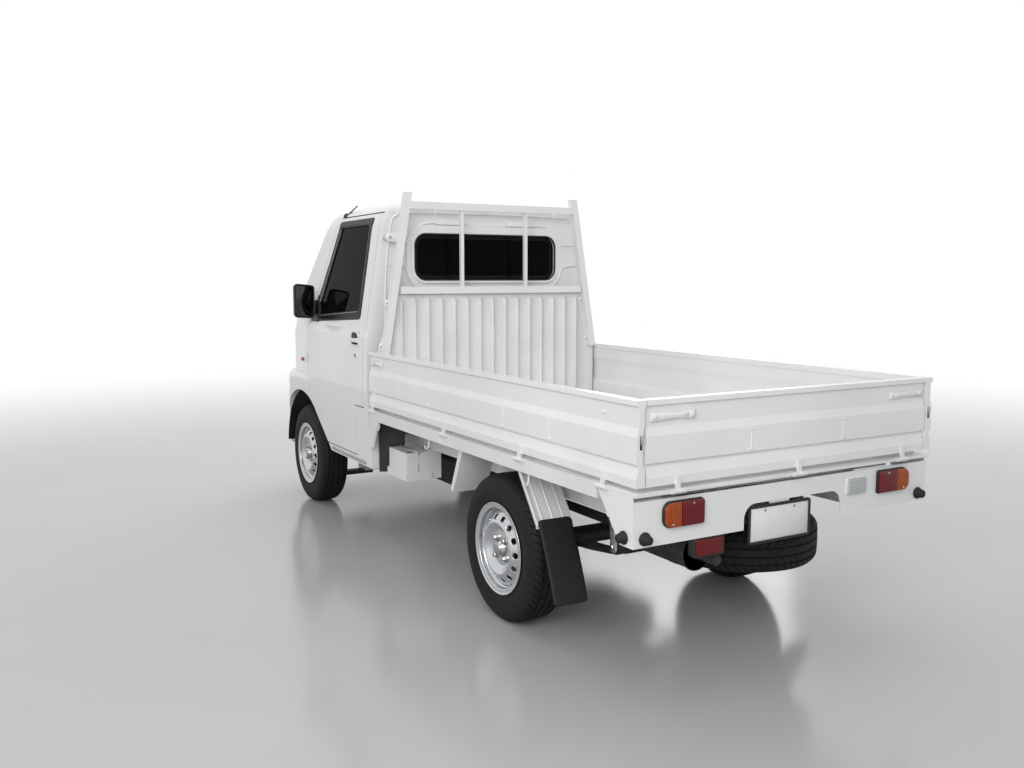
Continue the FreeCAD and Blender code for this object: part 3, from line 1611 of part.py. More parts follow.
def frontSuspension():
    struts = []
    arms = []
    for side, sign in (("left", 1), ("right", -1)):
        x = size.kingpin_x * sign
        pin = rod(f"kingpin_{side}", "Z", size.kingpin_radius,
                  (x, frontAxleY, axleZ - size.knuckle_height / 2), size.knuckle_height)
        radius = size.kingpin_radius
        stub = [(size.kingpin_x, asSize(0)), (size.kingpin_x, radius), (drumX, radius)]
        drum = turned(f"front_drum_{side}", stub + drumProfile(), (0, frontAxleY, axleZ), side)
        keep(f"knuckle_{side}", fuse(f"knuckle_{side}_body", [pin, drum]))
        bottom = axleZ + size.knuckle_height / 2 + size.seat_gap
        foot = (x, frontAxleY, bottom)
        tube = rod(f"strut_tube_{side}", "Z", size.strut_tube_radius, foot, size.strut_top - bottom)
        spring = rod(f"strut_spring_{side}", "Z", size.strut_radius, (x, frontAxleY, size.strut_spring_z),
                     size.strut_top - size.strut_spring_z)
        struts.append(fuse(f"strut_{side}", [tube, spring]))
        low = (size.rail_front_x, size.kingpin_x + size.kingpin_radius)
        xs = low if sign > 0 else (-low[1], -low[0])
        ys = (frontAxleY - size.arm_width / 2, frontAxleY + size.arm_width / 2)
        arms.append(block(f"arm_{side}", xs, ys, (armTop - size.arm_thickness, armTop)))
    arch = fuse("strut_towers", struts)
    spaces = fuse("strut_spaces", [doc.getObject(f"space_arch_{side}") for side in ("left", "right")])
    keep("front_struts", common("front_strut_pair", [arch, spaces]))
    keep("front_arms", together("front_arm_pair", arms))


frontSuspension()


# Every object is checked before anything is written
doc.recompute()
for item in doc.Objects:
    assert "Invalid" not in item.State and "Error" not in item.State, f"{item.Label}: {item.State}"
for item in nodes:
    assert not item.Shape.isNull() and item.Shape.isValid(), f"{item.Label} has no valid shape"
for item in nodes:
    box = item.Shape.BoundBox
    spans = f"x {box.XMin:.0f} to {box.XMax:.0f}, y {box.YMin:.0f} to {box.YMax:.0f}"
    litres = item.Shape.Volume / 1e6
    print(f"{item.Label}: {len(item.Shape.Solids)} solids, {litres:.2f} litres, {spans}, "
          f"z {box.ZMin:.0f} to {box.ZMax:.0f}")
    item.Shape.exportStep(f"parts/{item.Label}.step")
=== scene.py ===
import math

import bpy
import numpy as np
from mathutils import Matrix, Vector


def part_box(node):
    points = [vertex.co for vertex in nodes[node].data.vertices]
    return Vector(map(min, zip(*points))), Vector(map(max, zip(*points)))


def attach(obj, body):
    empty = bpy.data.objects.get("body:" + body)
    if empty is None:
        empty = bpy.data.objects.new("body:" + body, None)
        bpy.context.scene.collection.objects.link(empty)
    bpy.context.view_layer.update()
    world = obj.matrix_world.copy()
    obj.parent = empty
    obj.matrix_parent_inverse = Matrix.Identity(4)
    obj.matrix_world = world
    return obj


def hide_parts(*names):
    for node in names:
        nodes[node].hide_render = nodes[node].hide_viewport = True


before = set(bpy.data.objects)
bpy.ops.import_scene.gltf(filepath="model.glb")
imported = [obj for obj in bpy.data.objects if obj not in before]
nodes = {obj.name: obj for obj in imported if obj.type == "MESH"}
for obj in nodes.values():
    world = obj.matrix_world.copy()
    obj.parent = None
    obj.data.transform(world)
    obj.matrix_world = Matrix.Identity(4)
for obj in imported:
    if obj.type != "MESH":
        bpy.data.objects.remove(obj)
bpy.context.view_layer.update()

# Main places on the truck, in metres
axles = {"frontY": -1.4, "rearY": 0.992, "z": 0.296, "wheelX": 0.57}
bed = {"half": 0.6885, "frontY": -0.262, "backY": 1.932}
cabBackY = -0.29
wheelPlaces = {f"wheel_{end}_{side}": (sign * axles["wheelX"], axles[f"{end}Y"], sign) for end in ("front", "rear")
               for side, sign in (("left", 1), ("right", -1))}


# Reads one property of all the items of a mesh into one array
def readAll(items, key, kind=float, width=1):
    values = np.empty(len(items) * width, kind)
    items.foreach_get(key, values)
    return values


# The points of a mesh, one row each
def coordinates(mesh):
    return readAll(mesh.vertices, "co", width=3).reshape(-1, 3)


# A mesh from its points, the corners of all its faces in one row, and how many each face has
def makeMesh(name, verts, loops, sizes, smooth=True):
    mesh = bpy.data.meshes.new(name)
    mesh.vertices.add(len(verts))
    mesh.vertices.foreach_set("co", np.asarray(verts, np.float32).ravel())
    mesh.loops.add(len(loops))
    mesh.loops.foreach_set("vertex_index", np.asarray(loops, np.int32))
    mesh.polygons.add(len(sizes))
    mesh.polygons.foreach_set("loop_start", (np.cumsum(sizes) - sizes).astype(np.int32))
    mesh.polygons.foreach_set("use_smooth", np.array(np.broadcast_to(smooth, len(sizes)), bool))
    mesh.update(calc_edges=True)
    piece = bpy.data.objects.new(name, mesh)
    bpy.context.scene.collection.objects.link(piece)
    return piece


# A surface through a grid of points (rows, columns, 3). It closes round its rows or columns, or
# gets flat end caps, where asked. Its signed volume about its middle says which way is outward.
def surface(name, points, closeRows=False, closeColumns=True, caps=False, smooth=True):
    rows, columns = points.shape[:2]
    flat = points.reshape(-1, 3)
    i = np.arange(rows if closeRows else rows - 1)[:, None]
    j = np.arange(columns if closeColumns else columns - 1)[None, :]
    nextI, nextJ = (i + 1) % rows, (j + 1) % columns
    quads = np.stack([i * columns + j, i * columns + nextJ, nextI * columns + nextJ, nextI * columns + j], -1)
    quads = quads.reshape(-1, 4)
    a, b, c, d = (flat[quads[:, k]] - flat.mean(0) for k in range(4))
    volume = (a * np.cross(b, c)).sum() + (a * np.cross(c, d)).sum()
    ends = [np.arange(columns)[::-1], (rows - 1) * columns + np.arange(columns)] if caps else []
    if volume < 0:
        quads, ends = quads[:, ::-1], [face[::-1] for face in ends]
    sizes = np.array([4] * len(quads) + [columns] * len(ends))
    return makeMesh(name, flat, np.concatenate([quads.ravel(), *ends]), sizes, smooth)


# A closed outline with its corners rounded: each corner is an arc from one side to the next
def roundCorners(points, radius, steps=7):
    points = np.asarray(points, float)
    radii = np.broadcast_to(radius, len(points))
    out = []
    for before, here, after, r in zip(np.roll(points, 1, 0), points, np.roll(points, -1, 0), radii):
        toBefore = (before - here) / np.linalg.norm(before - here)
        toAfter = (after - here) / np.linalg.norm(after - here)
        half = math.acos(np.clip(np.dot(toBefore, toAfter), -1, 1)) / 2
        centre = here + (toBefore + toAfter) / np.linalg.norm(toBefore + toAfter) * r / math.sin(half)
        start = here + toBefore * r / math.tan(half) - centre
        end = here + toAfter * r / math.tan(half) - centre
        share = np.linspace(0, 1, steps)[:, None]
        turn = math.pi - 2 * half
        out.append(centre + (np.sin((1 - share) * turn) * start + np.sin(share * turn) * end) / math.sin(turn))
    return np.concatenate(out)


# The four corners of a rectangle from its two ranges, counter-clockwise
def corners(across, up):
    return [(across[0], up[0]), (across[1], up[0]), (across[1], up[1]), (across[0], up[1])]


# A rounded rectangle about the origin
def rectangle(width, height, radius, steps=7):
    x, y = width / 2, height / 2
    return roundCorners(corners((-x, x), (-y, y)), radius, steps)


# An even polygon of points on a circle
def circle(radius, steps=32):
    angle = np.linspace(0, 2 * np.pi, steps, endpoint=False)
    return np.stack([np.cos(angle), np.sin(angle)], -1) * radius


# Moves a counter-clockwise outline outward by a distance, along the mean normal of its two sides
def grown(outline, distance):
    side = np.roll(outline, -1, 0) - outline
    side /= np.maximum(np.linalg.norm(side, axis=1, keepdims=True), 1e-9)
    both = side + np.roll(side, 1, 0)
    both /= np.maximum(np.linalg.norm(both, axis=1, keepdims=True), 1e-9)
    return outline + np.stack([both[:, 1], -both[:, 0]], 1) * distance


# A hexagon head: straight from its foot to its top, its edge turned in by a bevel up to the tip
def hexHead(radius, heights, bevel, at, origin, look):
    foot, top, tip = heights
    return plate("hexHead", circle(radius, 6) + at, [(0, foot), (0, top), (-bevel, tip)], origin, look,
                 smooth=False)


# The three directions of a plate by the way its face looks: across, up and out
looks = {
    "left": ((0, 1, 0), (0, 0, 1), (1, 0, 0)),
    "right": ((0, 1, 0), (0, 0, 1), (-1, 0, 0)),
    "back": ((1, 0, 0), (0, 0, 1), (0, 1, 0)),
    "front": ((1, 0, 0), (0, 0, 1), (0, -1, 0)),
    "up": ((1, 0, 0), (0, 1, 0), (0, 0, 1)),
}


# A plate or knob: its outline carried through (outset, depth) steps, closed at both ends
def plate(name, outline, steps, origin, look, smooth=True):
    across, up, out = np.asarray(looks[look], float)
    rows = []
    for outset, depth in steps:
        flat = grown(np.asarray(outline, float), outset)
        rows.append(np.asarray(origin, float) + flat[:, :1] * across + flat[:, 1:] * up + depth * out)
    return surface(name, np.stack(rows), caps=True, smooth=smooth)


# Steps of a plate with a rounded edge: up its side, round the edge, and onto its face
def pillow(thick, edge, sink=0.0):
    angle = np.linspace(0, np.pi / 2, 5)
    curve = [(-edge * (1 - math.cos(a)), thick - edge + edge * math.sin(a)) for a in angle]
    return [(0, -sink)] + curve


# An outline carried through (scale, depth) steps about its own middle, laid in place by a function
def swept(name, outline, shares, place):
    outline = np.asarray(outline, float)
    middle = (outline.max(0) + outline.min(0)) / 2
    rows = [place(middle + (outline - middle) * scale, depth) for scale, depth in shares]
    return surface(name, np.stack(rows), caps=True)


# A turned piece: (along, radius) points revolved about an axis through the origin point
def turned(name, profile, origin, axis="X", sides=48, closed=False):
    profile = np.asarray(profile, float)
    angle = np.linspace(0, 2 * np.pi, sides, endpoint=False)
    along = np.broadcast_to(profile[:, :1], (len(profile), sides))
    c, s = profile[:, 1:] * np.cos(angle), profile[:, 1:] * np.sin(angle)
    order = {"X": (along, c, s), "Y": (s, along, c), "Z": (c, s, along)}[axis]
    return surface(name, np.stack(order, -1) + np.asarray(origin, float), closeRows=closed, caps=not closed)


# A round bar carried along a path, its ring square to the path at each point
def tube(name, path, radius, sides=12, closed=False, flatten=1.0):
    path = np.asarray(path, float)
    tangent = np.roll(path, -1, 0) - np.roll(path, 1, 0) if closed else np.gradient(path, axis=0)
    tangent /= np.linalg.norm(tangent, axis=1, keepdims=True)
    spread = path.max(0) - path.min(0)
    guide = np.eye(3)[int(np.argmin(spread))]
    side = np.cross(tangent, guide)
    side /= np.maximum(np.linalg.norm(side, axis=1, keepdims=True), 1e-9)
    other = np.cross(side, tangent)
    angle = np.linspace(0, 2 * np.pi, sides, endpoint=False)[None, :, None]
    radius = np.broadcast_to(radius, len(path))[:, None, None]
    ring = np.cos(angle) * side[:, None] + np.sin(angle) * other[:, None] * flatten
    return surface(name, path[:, None] + ring * radius, closeRows=closed, caps=not closed)


# Catmull-Rom curves between the points b and c, whose outer neighbours are a and d: cubics whose
# slope at each point is half the way from the point before it to the one after it
def catmullRom(a, b, c, d, steps):
    a, b, c, d = (points[:, None] for points in (a, b, c, d))
    t = np.linspace(0, 1, steps, endpoint=False)[None, :, None]
    curve = 0.5 * (2 * b + (c - a) * t + (2 * a - 5 * b + 4 * c - d) * t ** 2 + (3 * b - a - 3 * c + d) * t ** 3)
    return curve.reshape(-1, a.shape[-1])


# A smooth path through a few points, with its ends carried on straight
def smoothPath(points, steps=8):
    p = np.asarray(points, float)
    p = np.concatenate([[2 * p[0] - p[1]], p, [2 * p[-1] - p[-2]]])
    return np.concatenate([catmullRom(*(p[k:len(p) - 3 + k] for k in range(4)), steps), p[-2:-1]])


# A lift above a surface, as one number for each point of a flat outline
def lifted(flat, lift):
    lift = np.asarray(lift, float)
    if lift.ndim == flat.ndim:
        lift = lift[..., 0]
    return np.broadcast_to(lift, flat.shape[:-1])


# A closed loop made finer, which runs on past its seam
def smoothLoop(points, steps=2):
    return catmullRom(*(np.roll(np.asarray(points, float), shift, 0) for shift in (1, 0, -1, -2)), steps)


# Puts what the modifiers make into the piece's own mesh
def applied(piece):
    seen = piece.evaluated_get(bpy.context.evaluated_depsgraph_get())
    mesh = bpy.data.meshes.new_from_object(seen)
    piece.modifiers.clear()
    piece.data = mesh
    return piece


# A flat ring between two outlines of equal length on a given surface, closed underneath
def ring(name, inner, outer, onSurface, proud=0.002, sink=0.003, rows=5):
    share = np.concatenate([[0, 0], np.linspace(0.03, 0.97, rows), [1, 1]])[:, None, None]
    lift = np.concatenate([[-sink, proud * 0.7], np.full(rows, proud), [proud * 0.7, -sink]])
    flat = inner[None] * (1 - share) + outer[None] * share
    return surface(name, onSurface(flat, lift[:, None]), closeRows=True)


# One mesh from several, in their order, after which their own objects go
def joined(name, pieces):
    verts, loops, sizes, smooth = [], [], [], []
    for piece in pieces:
        mesh = piece.data
        loops.append(readAll(mesh.loops, "vertex_index", np.int32) + sum(map(len, verts)))
        verts.append(coordinates(mesh))
        sizes.append(readAll(mesh.polygons, "loop_total", np.int32))
        smooth.append(readAll(mesh.polygons, "use_smooth", bool))
        bpy.data.objects.remove(piece)
    return makeMesh(name, *map(np.concatenate, (verts, loops, sizes, smooth)))


# The mirror image across the truck's middle, with its faces turned outward again
def mirrorImage(piece, name):
    mesh = piece.data.copy()
    mesh.vertices.foreach_set("co", (coordinates(mesh) * (-1, 1, 1)).ravel())
    mesh.flip_normals()
    mesh.name = name
    image = bpy.data.objects.new(name, mesh)
    bpy.context.scene.collection.objects.link(image)
    return image


# Rides a piece on its body in a material, and says what it stands for
def fit(piece, body, material, replaced=()):
    piece.data.materials.clear()
    piece.data.materials.append(material)
    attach(piece, body)
    if replaced:
        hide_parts(*replaced)
    return piece


# The same piece on both sides: the left one as made, and its mirror image on the right
def fitBoth(piece, bodies, material, replaced=((), ())):
    name = piece.name
    image = mirrorImage(piece, f"{name}_right")
    piece.name = f"{name}_left"
    fit(piece, bodies[0], material, replaced[0])
    fit(image, bodies[1], material, replaced[1])


# A colour written in sRGB hex, as the linear values that the shaders take
def linear(hexText):
    channels = [int(hexText[k:k + 2], 16) / 255 for k in (0, 2, 4)]
    return [c / 12.92 if c <= 0.04045 else ((c + 0.055) / 1.055) ** 2.4 for c in channels] + [1.0]


# Adds a node with its settings, and its links as (input, node, output)
def addNode(tree, kind, settings=None, links=()):
    node = tree.nodes.new("ShaderNode" + kind)
    for key, value in (settings or {}).items():
        if key in node.inputs:
            node.inputs[key].default_value = value
        else:
            setattr(node, key, value)
    for socket, source, output in links:
        tree.links.new(source.outputs[output], node.inputs[socket])
    return node


# A material with the constants of its shader set, and the node that gives the place in metres
def newMaterial(name, settings):
    material = bpy.data.materials.new(name)
    material.use_nodes = True
    tree = material.node_tree
    shader = tree.nodes["Principled BSDF"]
    for key, value in settings.items():
        shader.inputs[key].default_value = value
    place = addNode(tree, "TexCoord")
    return material, tree, shader, place


# A texture laid over the piece by its own place in metres
def texture(tree, place, kind, settings):
    return addNode(tree, kind, settings, [("Vector", place, "Object")])


# Runs the base colour between two tones as a value goes from low to high
def colourBetween(tree, shader, source, output, dark, light, low=0.35, high=0.65):
    ramp = addNode(tree, "ValToRGB", {}, [("Fac", source, output)])
    for stop, position, colour in zip(ramp.color_ramp.elements, (low, high), (dark, light)):
        stop.position, stop.color = position, linear(colour)
    tree.links.new(ramp.outputs["Color"], shader.inputs["Base Color"])


# Bumps the surface by a value, with its height in millimetres
def bumpFrom(tree, shader, source, output, heightMm, strength):
    bump = addNode(tree, "Bump", {"Strength": strength, "Distance": heightMm / 1000}, [("Height", source, output)])
    tree.links.new(bump.outputs["Normal"], shader.inputs["Normal"])


# Noise of a real size in millimetres, as a colour between two tones and as a bump
def toned(tree, shader, place, dark, light, sizeMm, bumpMm, strength=0.3, detail=3.0, low=0.35, high=0.65):
    noise = texture(tree, place, "TexNoise", {"Scale": 1000 / sizeMm, "Detail": detail})
    colourBetween(tree, shader, noise, "Fac", dark, light, low, high)
    if bumpMm:
        bumpFrom(tree, shader, noise, "Fac", bumpMm, strength)


# A material whose colour and bump come from one noise
def tonedMaterial(name, settings, *tones, **details):
    material, tree, shader, place = newMaterial(name, settings)
    toned(tree, shader, place, *tones, **details)
    return material


# Two sine waves multiplied, which cross as threads or as the pillows of a lens
def crossedWaves(tree, place, scale, directions):
    waves = [texture(tree, place, "TexWave", {"Scale": scale, "bands_direction": direction})
             for direction in directions]
    return addNode(tree, "Math", {"operation": "MULTIPLY"}, [(0, waves[0], "Fac"), (1, waves[1], "Fac")])


# Roughness that noise of a given scale drives between two values
def roughBetween(tree, shader, noise, low, high):
    rough = addNode(tree, "MapRange", {"To Min": low, "To Max": high}, [("Value", noise, "Fac")])
    tree.links.new(rough.outputs["Result"], shader.inputs["Roughness"])


# Baked white enamel on pressed steel: a clear gloss with the faint orange peel of spray in 4 mm
# waves, and a slow drift of tone over the panels
def whiteEnamel():
    material, tree, shader, place = newMaterial("whiteBakedEnamel", {
        "Roughness": 0.3, "IOR": 1.5, "Coat Weight": 0.5, "Coat Roughness": 0.05})
    toned(tree, shader, place, "DEDFE0", "E6E6E5", 450, 0, detail=2.0)
    peel = texture(tree, place, "TexNoise", {"Scale": 250, "Detail": 2.0})
    bumpFrom(tree, shader, peel, "Fac", 0.5, 0.05)
    return material


# White enamel of the load bed: the same paint, duller, with cargo scuffs
def bedEnamel():
    material, tree, shader, place = newMaterial("whiteBedEnamel",
            {"IOR": 1.5, "Coat Weight": 0.15, "Coat Roughness": 0.2})
    toned(tree, shader, place, "D6D7D8", "E4E4E2", 220, 0, low=0.3, high=0.75)
    scuff = texture(tree, place, "TexNoise", {"Scale": 60, "Detail": 4.0})
    roughBetween(tree, shader, scuff, 0.34, 0.55)
    bumpFrom(tree, shader, scuff, "Fac", 0.4, 0.08)
    return material


# Hot-dip zinc sheet: pale grey spangle of about 9 mm
def zincSheet():
    material, tree, shader, place = newMaterial("zincSheet", {"Metallic": 0.7, "Roughness": 0.42})
    cells = texture(tree, place, "TexVoronoi", {"Scale": 110})
    colourBetween(tree, shader, cells, "Color", "A0A2A4", "C2C4C5")
    return material


# Polypropylene moulded against a grained tool: fine leather grain, little gloss
def grainedPlastic(name, dark, light, rough=0.5, grainMm=1.2):
    return tonedMaterial(name, {"Roughness": rough, "IOR": 1.49}, dark, light, grainMm, 0.12, low=0.3, high=0.7)


# Privacy-tinted toughened glass: nearly black from outside. Its IOR is set below that of real glass,
# so that a white sky does not turn it grey.
def tintedGlass():
    material, tree, shader, place = newMaterial("tintedGlass", {
        "IOR": 1.09, "Transmission Weight": 0.35, "Specular IOR Level": 0.3})
    haze = texture(tree, place, "TexNoise", {"Scale": 6, "Detail": 2.0})
    roughBetween(tree, shader, haze, 0.005, 0.035)
    colourBetween(tree, shader, haze, "Fac", "0A0B0C", "0F1112")
    return material


# Moulded acrylic lamp lens: coloured in the mass, with pillow optics of the given pitch
def lampLens(name, dark, light, pitchMm=7.0, settings=None):
    acrylic = {"Roughness": 0.14, "IOR": 1.49, "Specular IOR Level": 0.25, "Coat Weight": 0.25,
               "Coat Roughness": 0.02}
    material, tree, shader, place = newMaterial(name, {**acrylic, **(settings or {})})
    both = crossedWaves(tree, place, 1000 / pitchMm * math.pi / 10, ("X", "Z"))
    colourBetween(tree, shader, both, "Value", dark, light, 0.1, 0.9)
    bumpFrom(tree, shader, both, "Value", 0.8, 0.25)
    return material


# Woven polyester seat cloth: crossing thread waves, drawn at 4 mm so that they show
def seatCloth():
    material, tree, shader, place = newMaterial("wovenSeatCloth", {"Roughness": 0.85, "Sheen Weight": 0.3})
    both = crossedWaves(tree, place, 80, ("X", "DIAGONAL"))
    colourBetween(tree, shader, both, "Value", "26282C", "4A4E55", 0.1, 0.9)
    bumpFrom(tree, shader, both, "Value", 0.6, 0.3)
    return material


enamel = whiteEnamel()
bedPaint = bedEnamel()
# Silver lacquer on a pressed steel wheel: fine metal flake under a satin clear coat
silver = tonedMaterial("silverWheelLacquer", {"Metallic": 0.9, "Roughness": 0.24, "Coat Weight": 0.3,
            "Coat Roughness": 0.1}, "B4B6B9", "D2D4D6", 1.8, 0.05, strength=0.1)
zinc = zincSheet()
# Nickel-plated fasteners: bright, a little worn
plated = tonedMaterial("platedSteel", {"Metallic": 1.0, "Roughness": 0.24}, "9A9996", "BCBBB7", 4, 0.03,
                       strength=0.1)
# Cast iron as cast: dark and gritty, with a thin brown bloom
iron = tonedMaterial("rawCastIron", {"Metallic": 0.35, "Roughness": 0.68}, "2B2A29", "47423D", 14, 0.5,
                     strength=0.35, detail=6.0)
# Black chassis paint on welded steel: satin, with road dust in patches of about 55 mm
chassisBlack = tonedMaterial("blackChassisPaint", {"Roughness": 0.5, "IOR": 1.5}, "101112", "222324", 55, 0.15,
                             strength=0.2, detail=5.0)
blackPlastic = grainedPlastic("grainedBlackPolypropylene", "0B0B0C", "161718")
greyPlastic = grainedPlastic("grainedGreyPolypropylene", "393C3F", "4B4E52", rough=0.6, grainMm=1.6)
paleCase = grainedPlastic("paleBatteryCase", "B9BBBA", "C9CBCA", rough=0.45, grainMm=5)
rubber = grainedPlastic("mouldedRubber", "070708", "0F1010", rough=0.7, grainMm=3)
redPlastic = grainedPlastic("redMouldedCap", "8E1410", "B21C16", rough=0.4, grainMm=4)
# Vulcanised tread rubber: near black, dry, with a slight grey bloom on the wall
tread = tonedMaterial("treadRubber", {"Roughness": 0.72, "IOR": 1.52, "Specular IOR Level": 0.3}, "0A0A0A",
                      "151515", 24, 0.08, strength=0.25, detail=5.0)
glass = tintedGlass()
redLens = lampLens("redAcrylicLens", "4E0309", "94121C")
amberLens = lampLens("amberAcrylicLens", "86300A", "C86418")
clearLens = lampLens("clearAcrylicLens", "9DA2A4", "DADEDF")
headLens = lampLens("headlampCover", "E8ECEE", "FFFFFF", 14.0, {"Transmission Weight": 0.9})
cloth = seatCloth()
# Silvered mirror glass whose colour is darkened as a painted reflection of dark surroundings: dark, with a clear
# image
darkPaintedMirror = tonedMaterial("mirrorGlassPaintedDark", {"Metallic": 1.0, "Roughness": 0.04}, "3C4043", "44484B", 60, 0)
# Sintered ceramic print round a window: black, half gloss
ceramic = tonedMaterial("blackCeramicPrint", {"Roughness": 0.3, "IOR": 1.5, "Specular IOR Level": 0.12}, "040505",
                        "080909", 12, 0.02, strength=0.1)
# Bright vacuum-coated plastic behind a headlamp's cover
reflector = lampLens("aluminisedReflector", "B8BABC", "E6E8EA", 16.0, {"Metallic": 1.0, "Roughness": 0.18})

byNode = {
    "bed_floor": bedPaint, "bed_front_wall": bedPaint, "dashboard": greyPlastic, "grille": blackPlastic,
    "splash_guards": blackPlastic, "engine": iron, "prop_shaft": chassisBlack, "rear_axle": chassisBlack,
    "leaf_springs": chassisBlack, "muffler": iron, "fuel_tank": chassisBlack, "front_arms": chassisBlack,
    "front_struts": chassisBlack, "knuckle_left": iron, "knuckle_right": iron, "spare_carrier": chassisBlack,
    "windscreen": glass, "rear_window": glass, "door_glass_left": glass, "door_glass_right": glass,
}
for nodeName, node in nodes.items():
    material = silver if nodeName.startswith("rim") or nodeName == "spare_rim" else byNode.get(nodeName, enamel)
    node.data.materials.clear()
    node.data.materials.append(material)

print("materials ready")

# Tyres
tyreShape = {
    "radius": 0.296, "half": 0.0825, "flange": 0.184, "bead": 0.1655, "pitches": 60,
    "grooveDepth": 0.007, "grooves": (-0.044, -0.0155, 0.0155, 0.044), "grooveHalf": 0.0028,
}


# The section is a smooth wall and a crown that falls to its shoulders, carried round the axle. The
# tread is cut into it: the radius is less a depth in the grooves round the tyre and in slots that
# cross its ribs, and the slots lean into a chevron.
def makeTyre(name, centre, axis, sign):
    s = tyreShape
    rise = s["radius"] - s["flange"]
    wall = [(-0.0752, s["bead"]), (-0.0752, s["flange"] + 0.0005)]
    for outShare, upShare in ((0.975, 0.2), (1.0, 0.42), (0.975, 0.66), (0.9, 0.84)):
        wall.append((-s["half"] * outShare, s["flange"] + rise * upShare))
    wall = smoothPath(wall, 3)
    half = s["grooveHalf"]
    edges = [groove + step for groove in s["grooves"] for step in (-half - 0.0006, -half, half, half + 0.0006)]
    across = np.sort(np.concatenate([np.linspace(-0.07, 0.07, 17), edges]))
    wide = np.abs(across)
    crown = s["radius"] - 0.0015 * (wide / 0.045) ** 2 - 0.0095 * np.clip((wide - 0.05) / 0.02, 0, 1) ** 2
    fromGroove = np.abs(across[:, None] - np.array(s["grooves"])).min(1)
    deep = np.clip(1 - (fromGroove - half) / 0.0006, 0, 1)
    right = (wall * (-1, 1))[::-1]
    x = np.concatenate([wall[:, 0], across, right[:, 0]])
    r = np.concatenate([wall[:, 1], crown, right[:, 1]])
    deep = np.concatenate([np.zeros(len(wall)), deep, np.zeros(len(right))])
    outer = ((np.abs(x) > 0.047) & (np.abs(x) < 0.0705) & (r > 0.27)).astype(float)
    inner = ((np.abs(x) > 0.0183) & (np.abs(x) < 0.0412)).astype(float) * (r > 0.28)
    phases = np.array([0, 0.02, 0.14, 0.16, 0.5, 0.515, 0.6, 0.615])
    slotOuter = np.tile([0, 1, 1, 0, 0, 0, 0, 0.0], s["pitches"])[:, None]
    slotInner = np.tile([0, 0, 0, 0, 0, 1, 1, 0.0], s["pitches"])[:, None]
    turn = ((np.arange(s["pitches"])[:, None] + phases).reshape(-1) / s["pitches"] * 2 * np.pi)[:, None]
    lean = np.where(r > 0.27, np.abs(x), 0.063) * 0.9 / s["radius"]
    cutShare = np.maximum(deep, np.maximum(slotOuter * outer, slotInner * inner * 0.8))
    radius = r - s["grooveDepth"] * cutShare
    along = np.broadcast_to(x * sign, radius.shape)
    c, d = radius * np.cos(turn + lean), radius * np.sin(turn + lean)
    points = np.stack({"X": (along, c, d), "Z": (c, d, along)}[axis], -1) + np.asarray(centre, float)
    piece = surface(name, points, closeRows=True)
    split = piece.modifiers.new("sharpEdges", "EDGE_SPLIT")
    split.split_angle = math.radians(50)
    return piece


for bodyName, (x, y, sign) in wheelPlaces.items():
    tyreNode = bodyName.replace("wheel", "tyre")
    fit(makeTyre(f"{tyreNode}_tread", (x, y, axles["z"]), "X", sign), bodyName, tread, [tyreNode])
spareLow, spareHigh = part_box("spare_tyre")
fit(makeTyre("spare_tyre_tread", (spareLow + spareHigh) / 2, "Z", -1), "chassis", tread, ["spare_tyre"])

print("tyres ready")

# Wheels: barrel, pressed disc with a ring of vents, dust cap and nuts
wheelShape = {"sheet": 0.0036, "vents": 14, "ventCircle": 0.1255, "ventHalf": (0.01, 0.0125), "face": 0.063,
              "nuts": 4, "circle": 0.05, "nutRadius": 0.0108, "nutHeight": 0.015, "cap": 0.0295, "proud": 0.024,
              "barrel": ((0.0765, 0.164), (0.077, 0.1795), (0.079, 0.1834), (0.0815, 0.184), (0.0825, 0.1822),
                         (0.0818, 0.1795), (0.08, 0.1765), (0.079, 0.17), (0.078, 0.1625), (0.075, 0.1606),
                         (0.064, 0.16), (0.058, 0.157), (0.053, 0.152), (0.04, 0.148), (0.01, 0.1455),
                         (-0.03, 0.1455), (-0.052, 0.152), (-0.06, 0.1585), (-0.075, 0.1606), (-0.079, 0.17),
                         (-0.08, 0.1765), (-0.0818, 0.1795), (-0.0825, 0.1822), (-0.0815, 0.184), (-0.079, 0.1834),
                         (-0.077, 0.1795), (-0.0765, 0.164), (-0.06, 0.162), (-0.052, 0.1555), (-0.03, 0.149),
                         (0.01, 0.149), (0.04, 0.1515), (0.055, 0.156), (0.062, 0.1635)),
              "disc": ((0.061, 0.025), (0.0628, 0.029), (0.063, 0.06), (0.0615, 0.0665), (0.062, 0.0715),
                       (0.0665, 0.0795), (0.0745, 0.088), (0.081, 0.095), (0.084, 0.1), (0.0846, 0.104),
                       (0.0836, 0.1085), (0.0805, 0.1125), (0.0622, 0.1385), (0.0588, 0.144), (0.056, 0.149),
                       (0.0515, 0.1512)),
              "boss": ((0.0195, 0.06), (0.059, 0.06), (0.059, 0.001), (0.0195, 0.001))}


